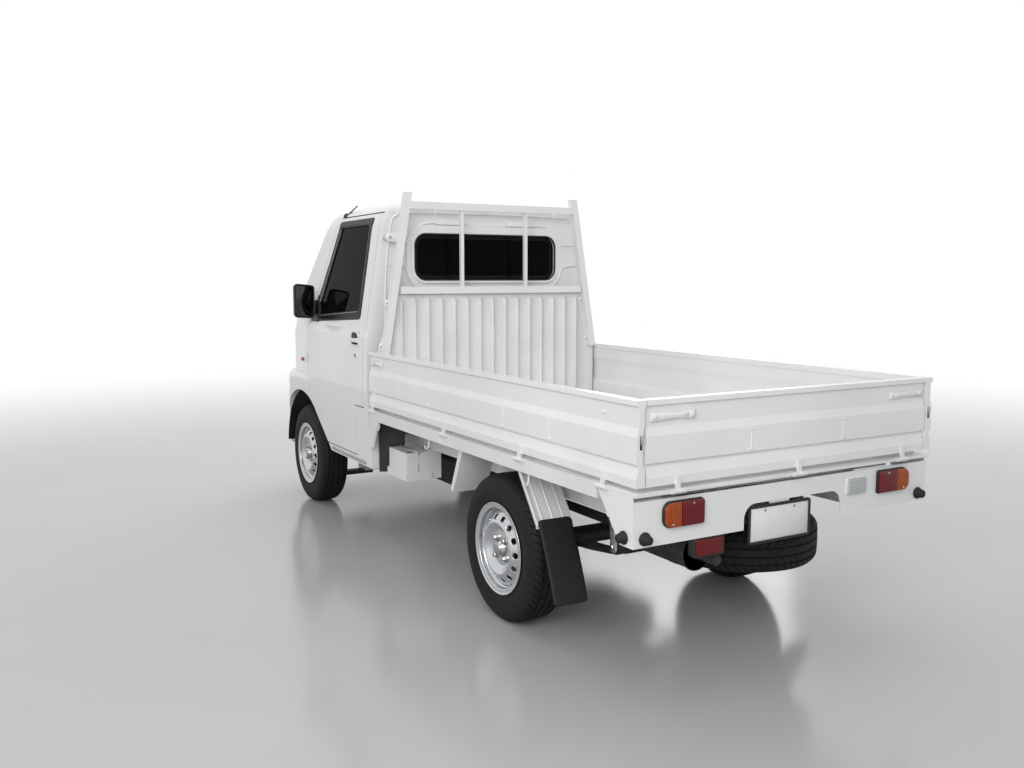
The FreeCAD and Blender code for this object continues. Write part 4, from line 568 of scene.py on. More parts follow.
# A steel wheel about the middle of the tyre: the barrel is a closed section turned round the axle,
# the disc a bowed sheet with vents cut through it, and the nuts stand on their washers
def makeWheel(name, centre, axis, sign):
    w = wheelShape
    origin = (0, 0, 0)
    barrel = turned("barrel", smoothLoop(w["barrel"], 2), origin, "X", 120, closed=True)
    front = np.array(w["disc"])
    slope = np.gradient(front, axis=0)
    slope /= np.linalg.norm(slope, axis=1, keepdims=True)
    back = front - np.stack([slope[:, 1], -slope[:, 0]], 1) * w["sheet"]
    disc = turned("disc", np.concatenate([front, back[::-1]]), origin, "X", 168, closed=True)
    cuts = []
    for angle in np.arange(w["vents"]) / w["vents"] * 2 * np.pi:
        oval = circle(1, 28) * w["ventHalf"]
        cos, sin = math.cos(angle), math.sin(angle)
        turnedOval = np.stack([oval[:, 0] * cos - oval[:, 1] * sin, oval[:, 0] * sin + oval[:, 1] * cos], 1)
        at = np.array((cos, sin)) * w["ventCircle"]
        cuts.append(plate("cut", turnedOval + at, [(0, 0.03), (0, 0.11)], origin, "left"))
    cutter = joined("cutter", cuts)
    cut = disc.modifiers.new("vents", "BOOLEAN")
    cut.operation, cut.solver, cut.object = "DIFFERENCE", "EXACT", cutter
    applied(disc)
    bpy.data.objects.remove(cutter)
    disc.data.polygons.foreach_set("use_smooth", np.ones(len(disc.data.polygons), bool))
    disc.data.set_sharp_from_angle(angle=math.radians(38))
    lips = []
    for angle in np.arange(w["vents"]) / w["vents"] * 2 * np.pi:
        t = np.linspace(0, 2 * np.pi, 24, endpoint=False)
        radial, around = np.cos(t) * (w["ventHalf"][0] + 0.0008), np.sin(t) * (w["ventHalf"][1] + 0.0008)
        r = w["ventCircle"] + radial
        y, z = r * math.cos(angle) - around * math.sin(angle), r * math.sin(angle) + around * math.cos(angle)
        x = np.interp(np.hypot(y, z), front[11:13, 1], front[11:13, 0])
        lips.append(tube("lip", np.stack([x, y, z], 1), 0.0011, 6, closed=True))
    boss = turned("boss", w["boss"], origin, "X", 48)
    steel = joined(name, [barrel, disc, boss] + lips)
    face = w["face"]
    cap = [(face - 0.002, w["cap"] + 0.004), (face + 0.003, w["cap"] + 0.003), (face + 0.004, w["cap"]),
           (face + w["proud"] * 0.75, w["cap"] * 0.92), (face + w["proud"] * 0.93, w["cap"] * 0.82),
           (face + w["proud"], w["cap"] * 0.6), (face + w["proud"], 0.0005)]
    pieces = [turned("cap", cap, origin, "X", 36)]
    for k in range(w["nuts"]):
        angle = (k + 0.5) / w["nuts"] * 2 * np.pi
        at = (face - 0.001, w["circle"] * math.cos(angle), w["circle"] * math.sin(angle))
        pieces.append(plate("washer", circle(0.0155, 24), [(0, -0.002), (0, 0.003), (-0.0015, 0.0048)], at, "left"))
        nut = [(0, 0), (0, w["nutHeight"] - 0.002), (-0.002, w["nutHeight"]), (-0.005, w["nutHeight"]),
               (-0.005, w["nutHeight"] + 0.004)]
        pieces.append(plate("nut", circle(w["nutRadius"], 6), nut, at, "left", smooth=False))
    stem = [(0.08, 0.0015), (0.0795, 0.0036), (0.07, 0.0038), (0.069, 0.0027), (0.05, 0.0027)]
    pieces.append(turned("stem", stem, (0, 0.088, -0.126), "X", 12))
    bright = joined(f"{name}_nuts", pieces)
    # Turn the finished wheel to its axis and side, and move it to its place
    for piece in (steel, bright):
        co = coordinates(piece.data)
        if axis == "Z":
            co = np.stack([co[:, 1], co[:, 2], co[:, 0]], 1)
        if sign < 0:
            co = co * ((-1, 1, 1) if axis == "X" else (1, 1, -1))
            piece.data.flip_normals()
        piece.data.vertices.foreach_set("co", (co + np.asarray(centre, float)).ravel())
        piece.data.update()
    return steel, bright


for bodyName, (x, y, sign) in wheelPlaces.items():
    rimName = bodyName.replace("wheel", "rim")
    steel, bright = makeWheel(f"{rimName}_pressed", (x, y, axles["z"]), "X", sign)
    fit(steel, bodyName, silver, [rimName])
    fit(bright, bodyName, plated)
steel, bright = makeWheel("spare_rim_pressed", (spareLow + spareHigh) / 2, "Z", -1)
fit(steel, "chassis", silver, ["spare_rim"])
bpy.data.objects.remove(bright)

print("wheels ready")

# Door and body surfaces
sideCurve = {"z": (0.392, 0.79, 1.06, 1.1, 1.64, 1.715), "x": (0.668, 0.69, 0.685, 0.668, 0.582, 0.545)}
windowLine = {
    "glass": ((-0.484, 1.189), (-0.484, 1.64), (-0.912, 1.64), (-1.156, 1.142)), "radius": 0.03,
    "frame": ((-0.444, 1.148), (-0.444, 1.672), (-0.945, 1.672), (-1.215, 1.108)), "frameRadius": 0.022,
}


# The half width of the cab's side by height
def doorX(z):
    return np.interp(z, sideCurve["z"], sideCurve["x"])


# A flat outline of (y, z) laid on the left side of the cab, raised by the lift
def onSide(flat, lift):
    y, z = flat[..., 0], flat[..., 1]
    return np.stack([doorX(z) + lifted(flat, lift), y, z], -1)


screenPlane = {"y": -1.63, "z": 1.045, "slope": 0.8246, "normalY": -0.7715, "normalZ": 0.636}


# The windscreen's plane: x across and the height up, raised by the lift along its normal
def onScreen(flat, lift):
    s = screenPlane
    x, z, lift = flat[..., 0], flat[..., 1], lifted(flat, lift)
    return np.stack([x, s["y"] + (z - s["z"]) * s["slope"] + s["normalY"] * lift, z + s["normalZ"] * lift], -1)


# The placing of a flat outline (x, z) on an upright plane that faces back
def onBackPlane(y):
    return lambda flat, lift: np.stack([flat[..., 0], y + lifted(flat, lift), flat[..., 1]], -1)


doorBodies = ("door_left", "door_right")
pair = ("chassis", "chassis")

# Glass surrounds
inner = roundCorners(windowLine["glass"], windowLine["radius"])
outer = roundCorners(windowLine["frame"], windowLine["frameRadius"])
fitBoth(ring("windowSurround", grown(inner, 0.0015), outer, onSide, 0.0018), doorBodies, ceramic)
seal = grown(inner, -0.0005)
fitBoth(ring("windowSeal", grown(seal, -0.007), seal, onSide, -0.0035, 0.004, 3), doorBodies, rubber)

screen = roundCorners([(-0.585, 1.075), (0.585, 1.075), (0.505, 1.69), (-0.505, 1.69)], 0.055, 9)
fit(ring("windscreenSeal", grown(screen, -0.012), grown(screen, 0.004), onScreen, 0.0016, 0.006, 5), "chassis",
    rubber)
fit(ring("windscreenBand", grown(screen, -0.036), grown(screen, -0.0105), onScreen, -0.0082, 0.0004, 3), "chassis",
    ceramic)
rear = roundCorners(corners((-0.423, 0.423), (1.35, 1.586)), 0.062, 9)
fit(ring("rearWindowBand", grown(rear, -0.024), grown(rear, -0.002), onBackPlane(-0.299), 0.0008, 0.0002, 3),
    "chassis", ceramic)
fit(ring("rearWindowSeal", grown(rear, -0.004), grown(rear, 0.003), onBackPlane(-0.283), 0.0035, 0.003, 4),
    "chassis", rubber)

# Mirrors
mirror = {"x": (0.676, 0.794), "faceY": -1.12, "z": (1.128, 1.33)}


# The mirror is a rounded shell, full at the front, with a rim round its sunk dark glass
def makeMirror():
    m = mirror
    width, height = m["x"][1] - m["x"][0], m["z"][1] - m["z"][0]
    middle = (sum(m["x"]) / 2, m["faceY"], sum(m["z"]) / 2)
    shape = np.array([(-0.5, -0.5), (0.5, -0.46), (0.5, 0.5), (-0.5, 0.44)]) * (width, height)
    shape = roundCorners(shape, 0.022, 8)
    steps = [(-0.011, -0.008), (-0.006, -0.0075), (-0.0045, 0), (-0.001, 0), (0, -0.002), (0, -0.022),
             (-0.002, -0.036), (-0.006, -0.049), (-0.012, -0.059), (-0.02, -0.066), (-0.028, -0.0695)]
    shell = plate("shell", shape, steps, middle, "back")
    section = rectangle(0.034, 0.078, 0.013, 6)
    along = [(0.63, 1.19, 1.15), (0.65, 1.191, 1.1), (0.668, 1.192, 1.06), (0.69, 1.195, 1.04), (0.712, 1.2, 0.98)]
    rows = [(x, -1.1665 + section[:, 0] * size, z + section[:, 1] * size) for x, z, size in along]
    arm = surface("arm", np.stack([np.stack(np.broadcast_arrays(*row), -1) for row in rows]), caps=True)
    sail = roundCorners([(-1.216, 1.11), (-1.082, 1.11), (-1.082, 1.17), (-1.138, 1.272)],
                        [0.006, 0.01, 0.01, 0.008], 6)
    foot = swept("foot", sail, [(1.0, -0.009), (1.0, 0.003), (0.98, 0.0045), (0.9, 0.0052), (0.001, 0.0055)],
                 onSide)
    back = plate("mirrorGlass", grown(shape, -0.0075), [(0, -0.004), (0, 0.0012), (-0.0012, 0.0018)],
                 (middle[0], m["faceY"] - 0.0065, middle[2]), "back")
    return joined("mirrorShell", [shell, arm, foot]), back


shell, mirrorFace = makeMirror()
fitBoth(shell, doorBodies, blackPlastic, (["mirror_left"], ["mirror_right"]))
# The mirror glass is painted dark to stand for the dark surroundings it reflects
fitBoth(mirrorFace, doorBodies, darkPaintedMirror)

# Door handles
handle = {"y": (-0.518, -0.4), "z": (1.008, 1.092), "skin": 0.6855}


# A white bezel round a dark recess, and the pull across it that is bowed outward
def makeHandle():
    h = handle
    middle = (h["skin"], sum(h["y"]) / 2, sum(h["z"]) / 2)
    width = h["y"][1] - h["y"][0]
    shape = roundCorners(corners((-0.059, 0.059), (-0.042, 0.042)), [0.014, 0.014, 0.036, 0.036], 8)
    hole = roundCorners(corners((-0.048, 0.048), (-0.031, 0.031)), [0.01, 0.01, 0.03, 0.03], 8)
    onHandle = lambda flat, lift: np.stack([lifted(flat, lift), flat[..., 0], flat[..., 1]], -1) + middle
    bezel = ring("bezel", hole, shape, onHandle, 0.004, 0.004)
    well = plate("handleWell", grown(hole, 0.001), [(0, -0.0045), (-0.001, 0.0004)], middle, "left")
    t = np.linspace(-1, 1, 15)
    path = np.stack([middle[0] + 0.015 - 0.0085 * t ** 4, middle[1] + t * (width / 2 - 0.0125),
                     np.full(15, middle[2] - 0.008)], -1)
    bar = tube("bar", path, 0.0048, 14, flatten=2.3)
    feet = [plate("pad", rectangle(0.018, 0.026, 0.005, 4), [(0, 0), (-0.001, 0.008), (-0.002, 0.0095)],
                  (middle[0], middle[1] + side * (width / 2 - 0.015), middle[2] - 0.008), "left")
            for side in (-1, 1)]
    lock = [plate("lockBezel", rectangle(0.036, 0.034, 0.01, 7),
                  [(0, -0.004), (0, 0.003), (-0.002, 0.005), (-0.005, 0.0052), (-0.006, 0.004)],
                  (doorX(0.962), -0.448, 0.962), "left"),
            plate("lockBarrel", circle(0.0085, 24),
                  [(0, -0.001), (0, 0.0048), (-0.001, 0.0056), (-0.003, 0.0056), (-0.0035, 0.0044)],
                  (doorX(0.962), -0.448, 0.962), "left")]
    return joined("handleBezel", [bezel, bar] + feet), well, lock[0], lock[1]


bezel, well, lockRing, lockSlot = makeHandle()
fitBoth(bezel, doorBodies, enamel, (["door_handle_left"], ["door_handle_right"]))
fitBoth(well, doorBodies, blackPlastic)
fitBoth(lockRing, doorBodies, enamel)
fitBoth(lockSlot, doorBodies, blackPlastic)

# Weather strip: a slim rubber tube in the gap round each door
doorLine = roundCorners([(-0.352, 0.702), (-0.352, 1.692), (-0.965, 1.692), (-1.2515, 1.062), (-1.2515, 0.7)],
                        [0.003, 0.01, 0.02, 0.02, 0.003], 5)
strip = np.stack([doorX(doorLine[:, 1]) - 0.0075, doorLine[:, 0], doorLine[:, 1]], 1)
fitBoth(tube("doorStrip", strip, 0.0017, 8), pair, rubber)

# Door inner trims
trim = {"inset": 0.0385, "thick": 0.006, "y": (-1.236, -0.366), "z": (0.44, 1.13)}


# Climbs from nought to one as a value passes a start, over a width
def climb(value, start, width):
    return np.clip((value - start) / width, 0, 1)


# The trim board follows the door's curve just inside it, with an arm rest and a map pocket
def makeTrim():
    t = trim
    y = np.linspace(*t["y"], 24)[None, :]
    z = np.linspace(*t["z"], 30)[:, None]
    armRest = 0.03 * np.exp(-((z - 0.86) / 0.03) ** 2) * climb(y, -1.1, 0.1) * climb(-y, 0.45, 0.1)
    pocket = 0.02 * climb(-z, -0.66, 0.02) * climb(z, 0.47, 0.03) * climb(-y, 0.62, 0.06) * climb(y, -1.21, 0.04)
    x = doorX(z) - t["inset"] - t["thick"] - armRest - pocket
    # The board's front end stays behind the notch at the wheel arch
    keep = climb(z, 0.71, 0.01)
    y = y * keep + np.clip(y, -0.86, None) * (1 - keep)
    front = np.stack(np.broadcast_arrays(x, y, z), -1)
    back = front.copy()
    back[..., 0] = doorX(z) - t["inset"]
    sheet = np.concatenate([front, back[:, ::-1]], 1)
    return surface("doorTrim", sheet, caps=True)


fitBoth(makeTrim(), doorBodies, greyPlastic)

print("doors ready")

# Lamps
lamps = {
    "tailX": (0.4115, 0.5765), "tailZ": (0.581, 0.667), "face": 1.92,
    "reverseX": (-0.3505, -0.2515), "reverseZ": (0.5925, 0.6555),
    "fogX": (0.311, 0.441), "fogZ": (0.462, 0.53), "fogY": (1.876, 1.92),
    "headX": (0.335, 0.585), "headZ": (0.59, 0.725),
}


# A value part of the way from one to another
def between(a, b, share):
    return a + (b - a) * share


# The lens is a pillow: its outline carried out, round the edge and in to a slightly domed face
def lens(name, outline, origin, look, thick, edge=0.003, dome=0.001):
    across, up, out = np.asarray(looks[look], float)
    outline = np.asarray(outline, float)
    middle = (outline.max(0) + outline.min(0)) / 2
    rows = [(grown(outline, outset), depth) for outset, depth in pillow(thick, edge, 0.001)]
    inner = rows[-1][0]
    rows += [(middle + (inner - middle) * scale, thick + dome * (1 - scale ** 2))
             for scale in (0.8, 0.5, 0.2, 0.001)]
    points = [np.asarray(origin, float) + flat[:, :1] * across + flat[:, 1:] * up + depth * out
              for flat, depth in rows]
    return surface(name, np.stack(points), caps=True)


# Tail lamp: a black base, a red part on the inner side and an amber part with a round outer end,
# held by two screws
def makeTailLamp():
    s = lamps
    x, z, y = s["tailX"], s["tailZ"], s["face"]
    base = roundCorners(corners(x, z), [0.01, 0.03, 0.03, 0.01], 8)
    housing = plate("housing", base, [(-0.001, -0.012), (0, 0), (0, 0.006), (-0.0025, 0.0085)], (0, y, 0), "back")
    split = between(x[0], x[1], 0.585)
    edge = 0.0032
    up = (z[0] + edge, z[1] - edge)
    red = roundCorners(corners((x[0] + edge, split - 0.0008), up), [0.008, 0.0042, 0.0042, 0.008], 7)
    amber = roundCorners(corners((split + 0.0008, x[1] - edge), up), [0.0042, 0.027, 0.027, 0.0042], 7)
    redPart = lens("redPart", red, (0, y + 0.0075, 0), "back", 0.0105, 0.0035, 0.001)
    amberPart = lens("amberPart", amber, (0, y + 0.0075, 0), "back", 0.0105, 0.0035, 0.001)
    screws = []
    for sx in (between(x[0], x[1], 0.3), between(x[0], x[1], 0.8)):
        at = (sx, y + 0.0184, z[0] + 0.0125 if sx > 0.5 else z[1] - 0.0125)
        screws.append(plate("screw", circle(0.0038, 16), [(0, -0.002), (0, 0.0004), (-0.0012, 0.0012)], at, "back"))
    return housing, redPart, amberPart, joined("lampScrews", screws)


housing, redPart, amberPart, screws = makeTailLamp()
fitBoth(housing, pair, blackPlastic, (["rear_lamps"], []))
fitBoth(redPart, pair, redLens)
fitBoth(amberPart, pair, amberLens)
fitBoth(screws, pair, plated)


# Reverse lamp: a clear ribbed lens in a thin black bezel
def makeReverseLamp():
    s = lamps
    shape = roundCorners(corners(s["reverseX"], s["reverseZ"]), 0.01, 7)
    base = plate("reverseLampBase", shape, [(-0.001, -0.012), (0, 0), (0, 0.004), (-0.002, 0.006)],
                 (0, s["face"], 0), "back")
    clear = lens("reverseLens", grown(shape, -0.004), (0, s["face"] + 0.005, 0), "back", 0.008, 0.003, 0.0008)
    return base, clear


# Fog lamp: a red lens in a deep black housing that hangs from the rear panel
def makeFogLamp():
    s = lamps
    shape = roundCorners(corners(s["fogX"], s["fogZ"]), 0.012, 7)
    deep = s["fogY"][1] - s["fogY"][0]
    steps = [(-0.01, -deep), (-0.005, -deep + 0.006), (0, -deep * 0.5), (0, -0.004), (-0.002, -0.001),
             (-0.006, -0.001), (-0.007, -0.008)]
    base = plate("fogLampHousing", shape, steps, (0, s["fogY"][1], 0), "back")
    red = lens("fogLens", grown(shape, -0.0072), (0, s["fogY"][1] - 0.009, 0), "back", 0.0085, 0.003, 0.0004)
    return base, red


base, clear = makeReverseLamp()
fit(base, "chassis", enamel, ["rear_lamps"])
fit(clear, "chassis", clearLens)
base, fog = makeFogLamp()
fit(base, "chassis", blackPlastic, ["rear_lamps"])
fit(fog, "chassis", redLens)

# Number plate: a blank white sheet in a black frame, with two bolts
plateSize = {"x": (-0.076, 0.206), "z": (0.4765, 0.6035), "y": 1.92}


# The sheet, its frame and two bolts near the upper edge
def makePlate():
    (x0, x1), z, y = plateSize["x"], plateSize["z"], plateSize["y"]
    shape = roundCorners(corners((x0, x1), z), 0.008, 6)
    sheet = plate("numberPlateSheet", grown(shape, -0.003), [(0, -0.0025), (0, -0.0018), (-0.0006, -0.0012)],
                  (0, y, 0), "back")
    rim = ring("numberPlateFrame", grown(shape, -0.0068), grown(shape, 0.0035), onBackPlane(y - 0.003), 0.004,
               0.0025, 5)
    bolts = []
    for x in (between(x0, x1, 0.26), between(x0, x1, 0.74)):
        bolts.append(hexHead(0.0065, (-0.001, 0.0026, 0.0036), 0.0016, (0, 0), (x, y - 0.0038, z[1] - 0.017), "back"))
    return sheet, rim, joined("numberPlateBolts", bolts)


sheet, rim, bolts = makePlate()
plateWhite = grainedPlastic("whitePlateEnamel", "D9DADB", "E2E3E3", rough=0.35, grainMm=30)
fit(sheet, "chassis", plateWhite, ["number_plate"])
fit(rim, "chassis", blackPlastic)
fit(bolts, "chassis", plated)

# Rubber buffers at the rear corners, under the hinges of the tailgate
buffer = {"radius": 0.022, "x": 0.644, "z": 0.558, "y": (1.92, 1.95), "sideY": 1.874, "sideX": (0.6885, 0.7155)}


# A stepped rubber foot that narrows along its length
def bufferProfile(length, radius):
    return [(0.0002, radius * 0.99), (length * 0.12, radius), (length * 0.2, radius * 0.97),
            (length * 0.24, radius * 0.8), (length * 0.8, radius * 0.68), (length * 0.94, radius * 0.6),
            (length, radius * 0.45), (length, 0.0006)]


b = buffer
back = turned("back", bufferProfile(b["y"][1] - b["y"][0], b["radius"]), (b["x"], b["y"][0], b["z"]), "Y", 32)
side = turned("side", bufferProfile(b["sideX"][1] - b["sideX"][0], b["radius"]),
              (b["sideX"][0], b["sideY"], b["z"]), "X", 32)
fitBoth(joined("rubberBuffer", [back, side]), pair, rubber, (["buffers"], []))

print("rear lamps ready")

# Bed sides: I-shaped stiffener marks and latches
sideMarks = {"shares": (0.17, 0.32, 0.47, 0.62, 0.77), "tailX": (-0.216, 0.216), "z": 0.838, "height": 0.066,
             "wide": 0.03, "bar": 0.0075}


# An I mark: a slim upright bead with a short bead at each end, pressed proud of the skin
def makeMark(origin, look):
    s = sideMarks
    bars = [((0, 0), (s["bar"], s["height"])), ((0, s["height"] / 2), (s["wide"], s["bar"])),
            ((0, -s["height"] / 2), (s["wide"], s["bar"]))]
    steps = [(0.001, -0.001), (0, 0.0006), (-0.0012, 0.0016), (-0.0028, 0.002)]
    pieces = []
    for (across, up), (width, height) in bars:
        shape = rectangle(width, height, min(width, height) * 0.45, 5) + (across, up)
        pieces.append(plate("bar", shape, steps, origin, look))
    return pieces


gates = (("gate_left", "left", 1), ("gate_right", "right", -1))
for body, look, sign in gates:
    marks = []
    for share in sideMarks["shares"]:
        y = between(bed["frontY"], bed["backY"], share)
        marks += makeMark((bed["half"] * sign, y, sideMarks["z"]), look)
    fit(joined(f"sideMarks_{body}", marks), body, enamel)
marks = []
for x in sideMarks["tailX"]:
    marks += makeMark((x, bed["backY"], sideMarks["z"]), "back")
fit(joined("tailgateMarks", marks), "tailgate", enamel)

latch = {"front": -0.236, "length": 0.128, "z": 0.94, "rivetY": 1.75, "tailX": 0.634, "tailLength": 0.178}


# A latch: a flat cranked lever with a turned eye at one end and a lip to pull at the other
def makeLever(length, origin, look, flip):
    shape = np.array([(0, -0.013), (0.03, -0.015), (0.62, -0.01), (0.86, -0.016), (1.0, -0.015), (1.0, 0.013),
                      (0.86, 0.014), (0.62, 0.009), (0.03, 0.015), (0, 0.013)]) * (length, 1)
    if flip:
        shape = shape[::-1] * (-1, 1)
    shape = roundCorners(shape, 0.0018, 4)
    lever = plate("lever", shape, [(-0.0008, -0.0095), (0, -0.0085), (0, -0.0035), (-0.0012, -0.0018)], origin,
                  look)
    along = np.asarray(looks[look][0], float) * (-1 if flip else 1)
    pivot = plate("pivot", circle(0.0095, 28), [(0, -0.009), (0, -0.0008), (-0.0015, 0.0008), (-0.0045, 0.0014)],
                  origin + along * 0.016, look)
    lip = plate("lip", rectangle(0.02, 0.022, 0.004, 4), [(0, -0.009), (0, -0.0015), (-0.003, 0.001)],
                origin + along * (length - 0.014), look)
    return [lever, pivot, lip]


for body, look, sign in gates:
    x = bed["half"] * sign
    fit(joined(f"frontLatch_{body}", makeLever(latch["length"], (x, latch["front"], latch["z"]), look, False)),
        body, enamel)
    rivet = plate(f"rivet_{body}", circle(0.008, 24), [(0, -0.011), (0, -0.006), (-0.003, -0.0035)],
                  (x, latch["rivetY"], latch["z"]), look)
    fit(rivet, body, enamel)
levers = makeLever(latch["tailLength"], (latch["tailX"], bed["backY"], latch["z"]), "back", True)
levers += makeLever(latch["tailLength"], (-latch["tailX"], bed["backY"], latch["z"]), "back", False)
fit(joined("tailLatches", levers), "tailgate", enamel)

# Rear ends of the side gates: the latch slot, painted shade as a dark plate in place of an opening, with its catch
gateEnd = {"inset": 0.017, "slotZ": 0.864, "catchZ": 0.872}
for body, look, sign in gates:
    x = (bed["half"] - gateEnd["inset"]) * sign
    slotShape = rectangle(0.009, 0.046, 0.003, 5)
    slotShade = plate(f"latchSlot_{body}", slotShape, [(0, -0.004), (0, 0.0003), (-0.0006, 0.0007)],
                 (x, bed["backY"], gateEnd["slotZ"]), "back")
    fit(slotShade, body, rubber)
    tongue = plate(f"latchCatch_{body}", rectangle(0.007, 0.03, 0.0025, 4),
                   [(0, -0.002), (0, 0.0035), (-0.0015, 0.005)], (x, bed["backY"], gateEnd["catchZ"]), "back")
    fit(tongue, body, plated)

# Rope hooks along the side rails
ropeHooks = {"y": (-0.16, 0.42, 1.28, 1.8), "radius": 0.0035}
hooks = []
for y in ropeHooks["y"]:
    route = smoothPath([(0.6765, y, 0.668), (0.6775, y, 0.65), (0.68, y, 0.622), (0.687, y, 0.611),
                        (0.696, y, 0.613), (0.6995, y, 0.624)], 5)
    hooks.append(tube("hook", route, ropeHooks["radius"], 10))
fitBoth(joined("ropeHooks", hooks), pair, enamel)

print("bed sides ready")

# Nose: the plan line of the lower front, straight in the middle and rounded twice to the flank
nose = {"y": -1.95, "flatX": 0.315, "frontRound": 0.5, "turnX": 0.481, "slope": 0.352, "cornerX": 0.495,
        "cornerRound": 0.24}


# The y of the nose by x: a small round, a straight slope and a large round, each from the last
def noseLine(x):
    n = nose
    x = np.abs(x)
    along = np.clip(x - n["flatX"], 0, n["turnX"] - n["flatX"])
    first = n["y"] + n["frontRound"] - np.sqrt(n["frontRound"] ** 2 - along ** 2)
    straight = np.clip(x - n["turnX"], 0, n["cornerX"] - n["turnX"]) * n["slope"]
    lean = math.sin(math.atan(n["slope"]))
    sine = np.clip((x - n["cornerX"]) / n["cornerRound"] + lean, lean, 0.999)
    last = n["cornerRound"] * (math.sqrt(1 - lean ** 2) - np.sqrt(1 - sine ** 2))
    return first + straight + last


# A flat outline of (x, z) laid on the nose, raised by the depth
def onNose(flat, depth):
    return np.stack([flat[..., 0], noseLine(flat[..., 0]) - lifted(flat, depth), flat[..., 1]], -1)


# Headlamp: a tub with a bright bowl and bulb, an amber indicator at its outer end, a clear cover
def makeHeadlamp():
    shape = roundCorners(corners(lamps["headX"], lamps["headZ"]), [0.016, 0.03, 0.022, 0.016], 8)
    tub = swept("headlampTub", shape, [(0.001, -0.085), (0.86, -0.085), (0.93, -0.075), (0.998, -0.012),
                (0.998, -0.0035), (0.965, -0.0035), (0.955, -0.006), (0.9, -0.06), (0.84, -0.068),
                (0.001, -0.068)], onNose)
    cover = swept("headlampGlass", shape, [(0.001, -0.0042), (0.93, -0.0042), (0.985, -0.006), (0.99, -0.005),
                (0.985, -0.0022), (0.965, -0.001), (0.9, -0.0004), (0.001, -0.0002)], onNose)
    middle = (0.418, noseLine(0.418), 0.6575)
    bowl = [(-0.06, 0.0005), (-0.06, 0.016), (-0.052, 0.033), (-0.036, 0.047), (-0.014, 0.0555), (-0.012, 0.0575),
            (-0.014, 0.058), (-0.04, 0.05), (-0.062, 0.03), (-0.064, 0.0005)]
    dish = turned("dish", [(-a, r) for a, r in bowl], middle, "Y", 48)
    bulb = turned("bulb", [(0.058, 0.0075), (0.036, 0.0075), (0.03, 0.0095), (0.024, 0.0095), (0.02, 0.006),
                           (0.018, 0.0006)], middle, "Y", 20)
    amber = roundCorners(corners((0.5, 0.572), (0.604, 0.711)), [0.006, 0.022, 0.016, 0.006], 7)
    indicator = swept("indicator", amber, [(0.001, -0.058), (0.94, -0.058), (1, -0.05), (1, -0.014), (0.95, -0.01),
                (0.5, -0.008), (0.001, -0.008)], onNose)
    return tub, cover, joined("headlampBowl", [dish, bulb]), indicator


tub, cover, bowl, indicator = makeHeadlamp()
fitBoth(tub, pair, reflector, (["headlamps"], []))
fitBoth(bowl, pair, reflector)
fitBoth(indicator, pair, amberLens)
fitBoth(cover, pair, headLens)

# Side indicators on the front panel
repeater = lens("sideIndicator", rectangle(0.046, 0.022, 0.01, 7) + (-1.33, 0.88), (0.688, 0, 0), "left", 0.0075,
                0.005, 0.001)
fitBoth(repeater, pair, amberLens)

# Wipers: the arm rises from its pivot on the cowl and carries the blade just off the glass
wipers = {"pivots": ((0.42, 1.0585), (-0.06, 1.0585)), "reach": -0.29, "rise": 0.052, "blade": 0.19}


# The blade's back rises to its middle; its rubber edge lies on the glass
def makeWiper(x, z):
    w = wipers
    tip = (x + w["reach"], z + w["rise"])
    spindle = swept("spindle", circle(0.012, 24) + (x, z),
                    [(1, -0.004), (1, 0.012), (0.8, 0.017), (0.3, 0.018), (0.001, 0.018)], onScreen)
    route = smoothPath([(x, z, 0.014), (x - 0.04, z + 0.004, 0.017),
                        (x + w["reach"] * 0.5, z + w["rise"] * 0.55, 0.016), (*tip, 0.012)], 6)
    arm = tube("arm", onScreen(route[:, :2], route[:, 2:]), np.linspace(0.006, 0.0038, len(route)), 10, flatten=0.6)
    t = np.linspace(-1, 1, 13)
    line = np.stack([tip[0] + 0.01 + t * w["blade"], tip[1] + t * -0.006, 0.0055 + 0.0045 * (1 - t ** 2)], -1)
    blade = tube("blade", onScreen(line[:, :2], line[:, 2:]), 0.0042 - 0.0012 * t ** 2, 8, flatten=0.7)
    line[:, 2] = 0.0005
    edge = tube("edge", onScreen(line[:, :2], line[:, 2:]), 0.0028, 6)
    return [spindle, arm, blade, edge]


fit(joined("wipers", sum((makeWiper(*pivot) for pivot in wipers["pivots"]), [])), "chassis", blackPlastic)

# Cowl vent below the windscreen: a black strip with slots that run up the slope
x = np.linspace(-0.5, 0.5, 301)[None, :]
z = np.array([1.0475, 1.0478, 1.05, 1.06, 1.0612, 1.0615])[:, None]
slots = 0.0018 * (np.sin(x / 0.02 * 2 * np.pi) > 0.2) * np.array([0, 0, 1, 1, 0, 0])[:, None]
lift = np.array([-0.002, 0.001, 0.0025, 0.0025, 0.0015, -0.002])[:, None] - slots
flat = np.stack(np.broadcast_arrays(x, z), -1)
top = onScreen(flat, lift[..., None])
under = onScreen(flat[::-1], np.full(lift.shape + (1,), -0.003))
cowl = surface("cowlVent", np.concatenate([top, under]), closeRows=True, closeColumns=False, smooth=False)
fit(cowl, "chassis", blackPlastic)

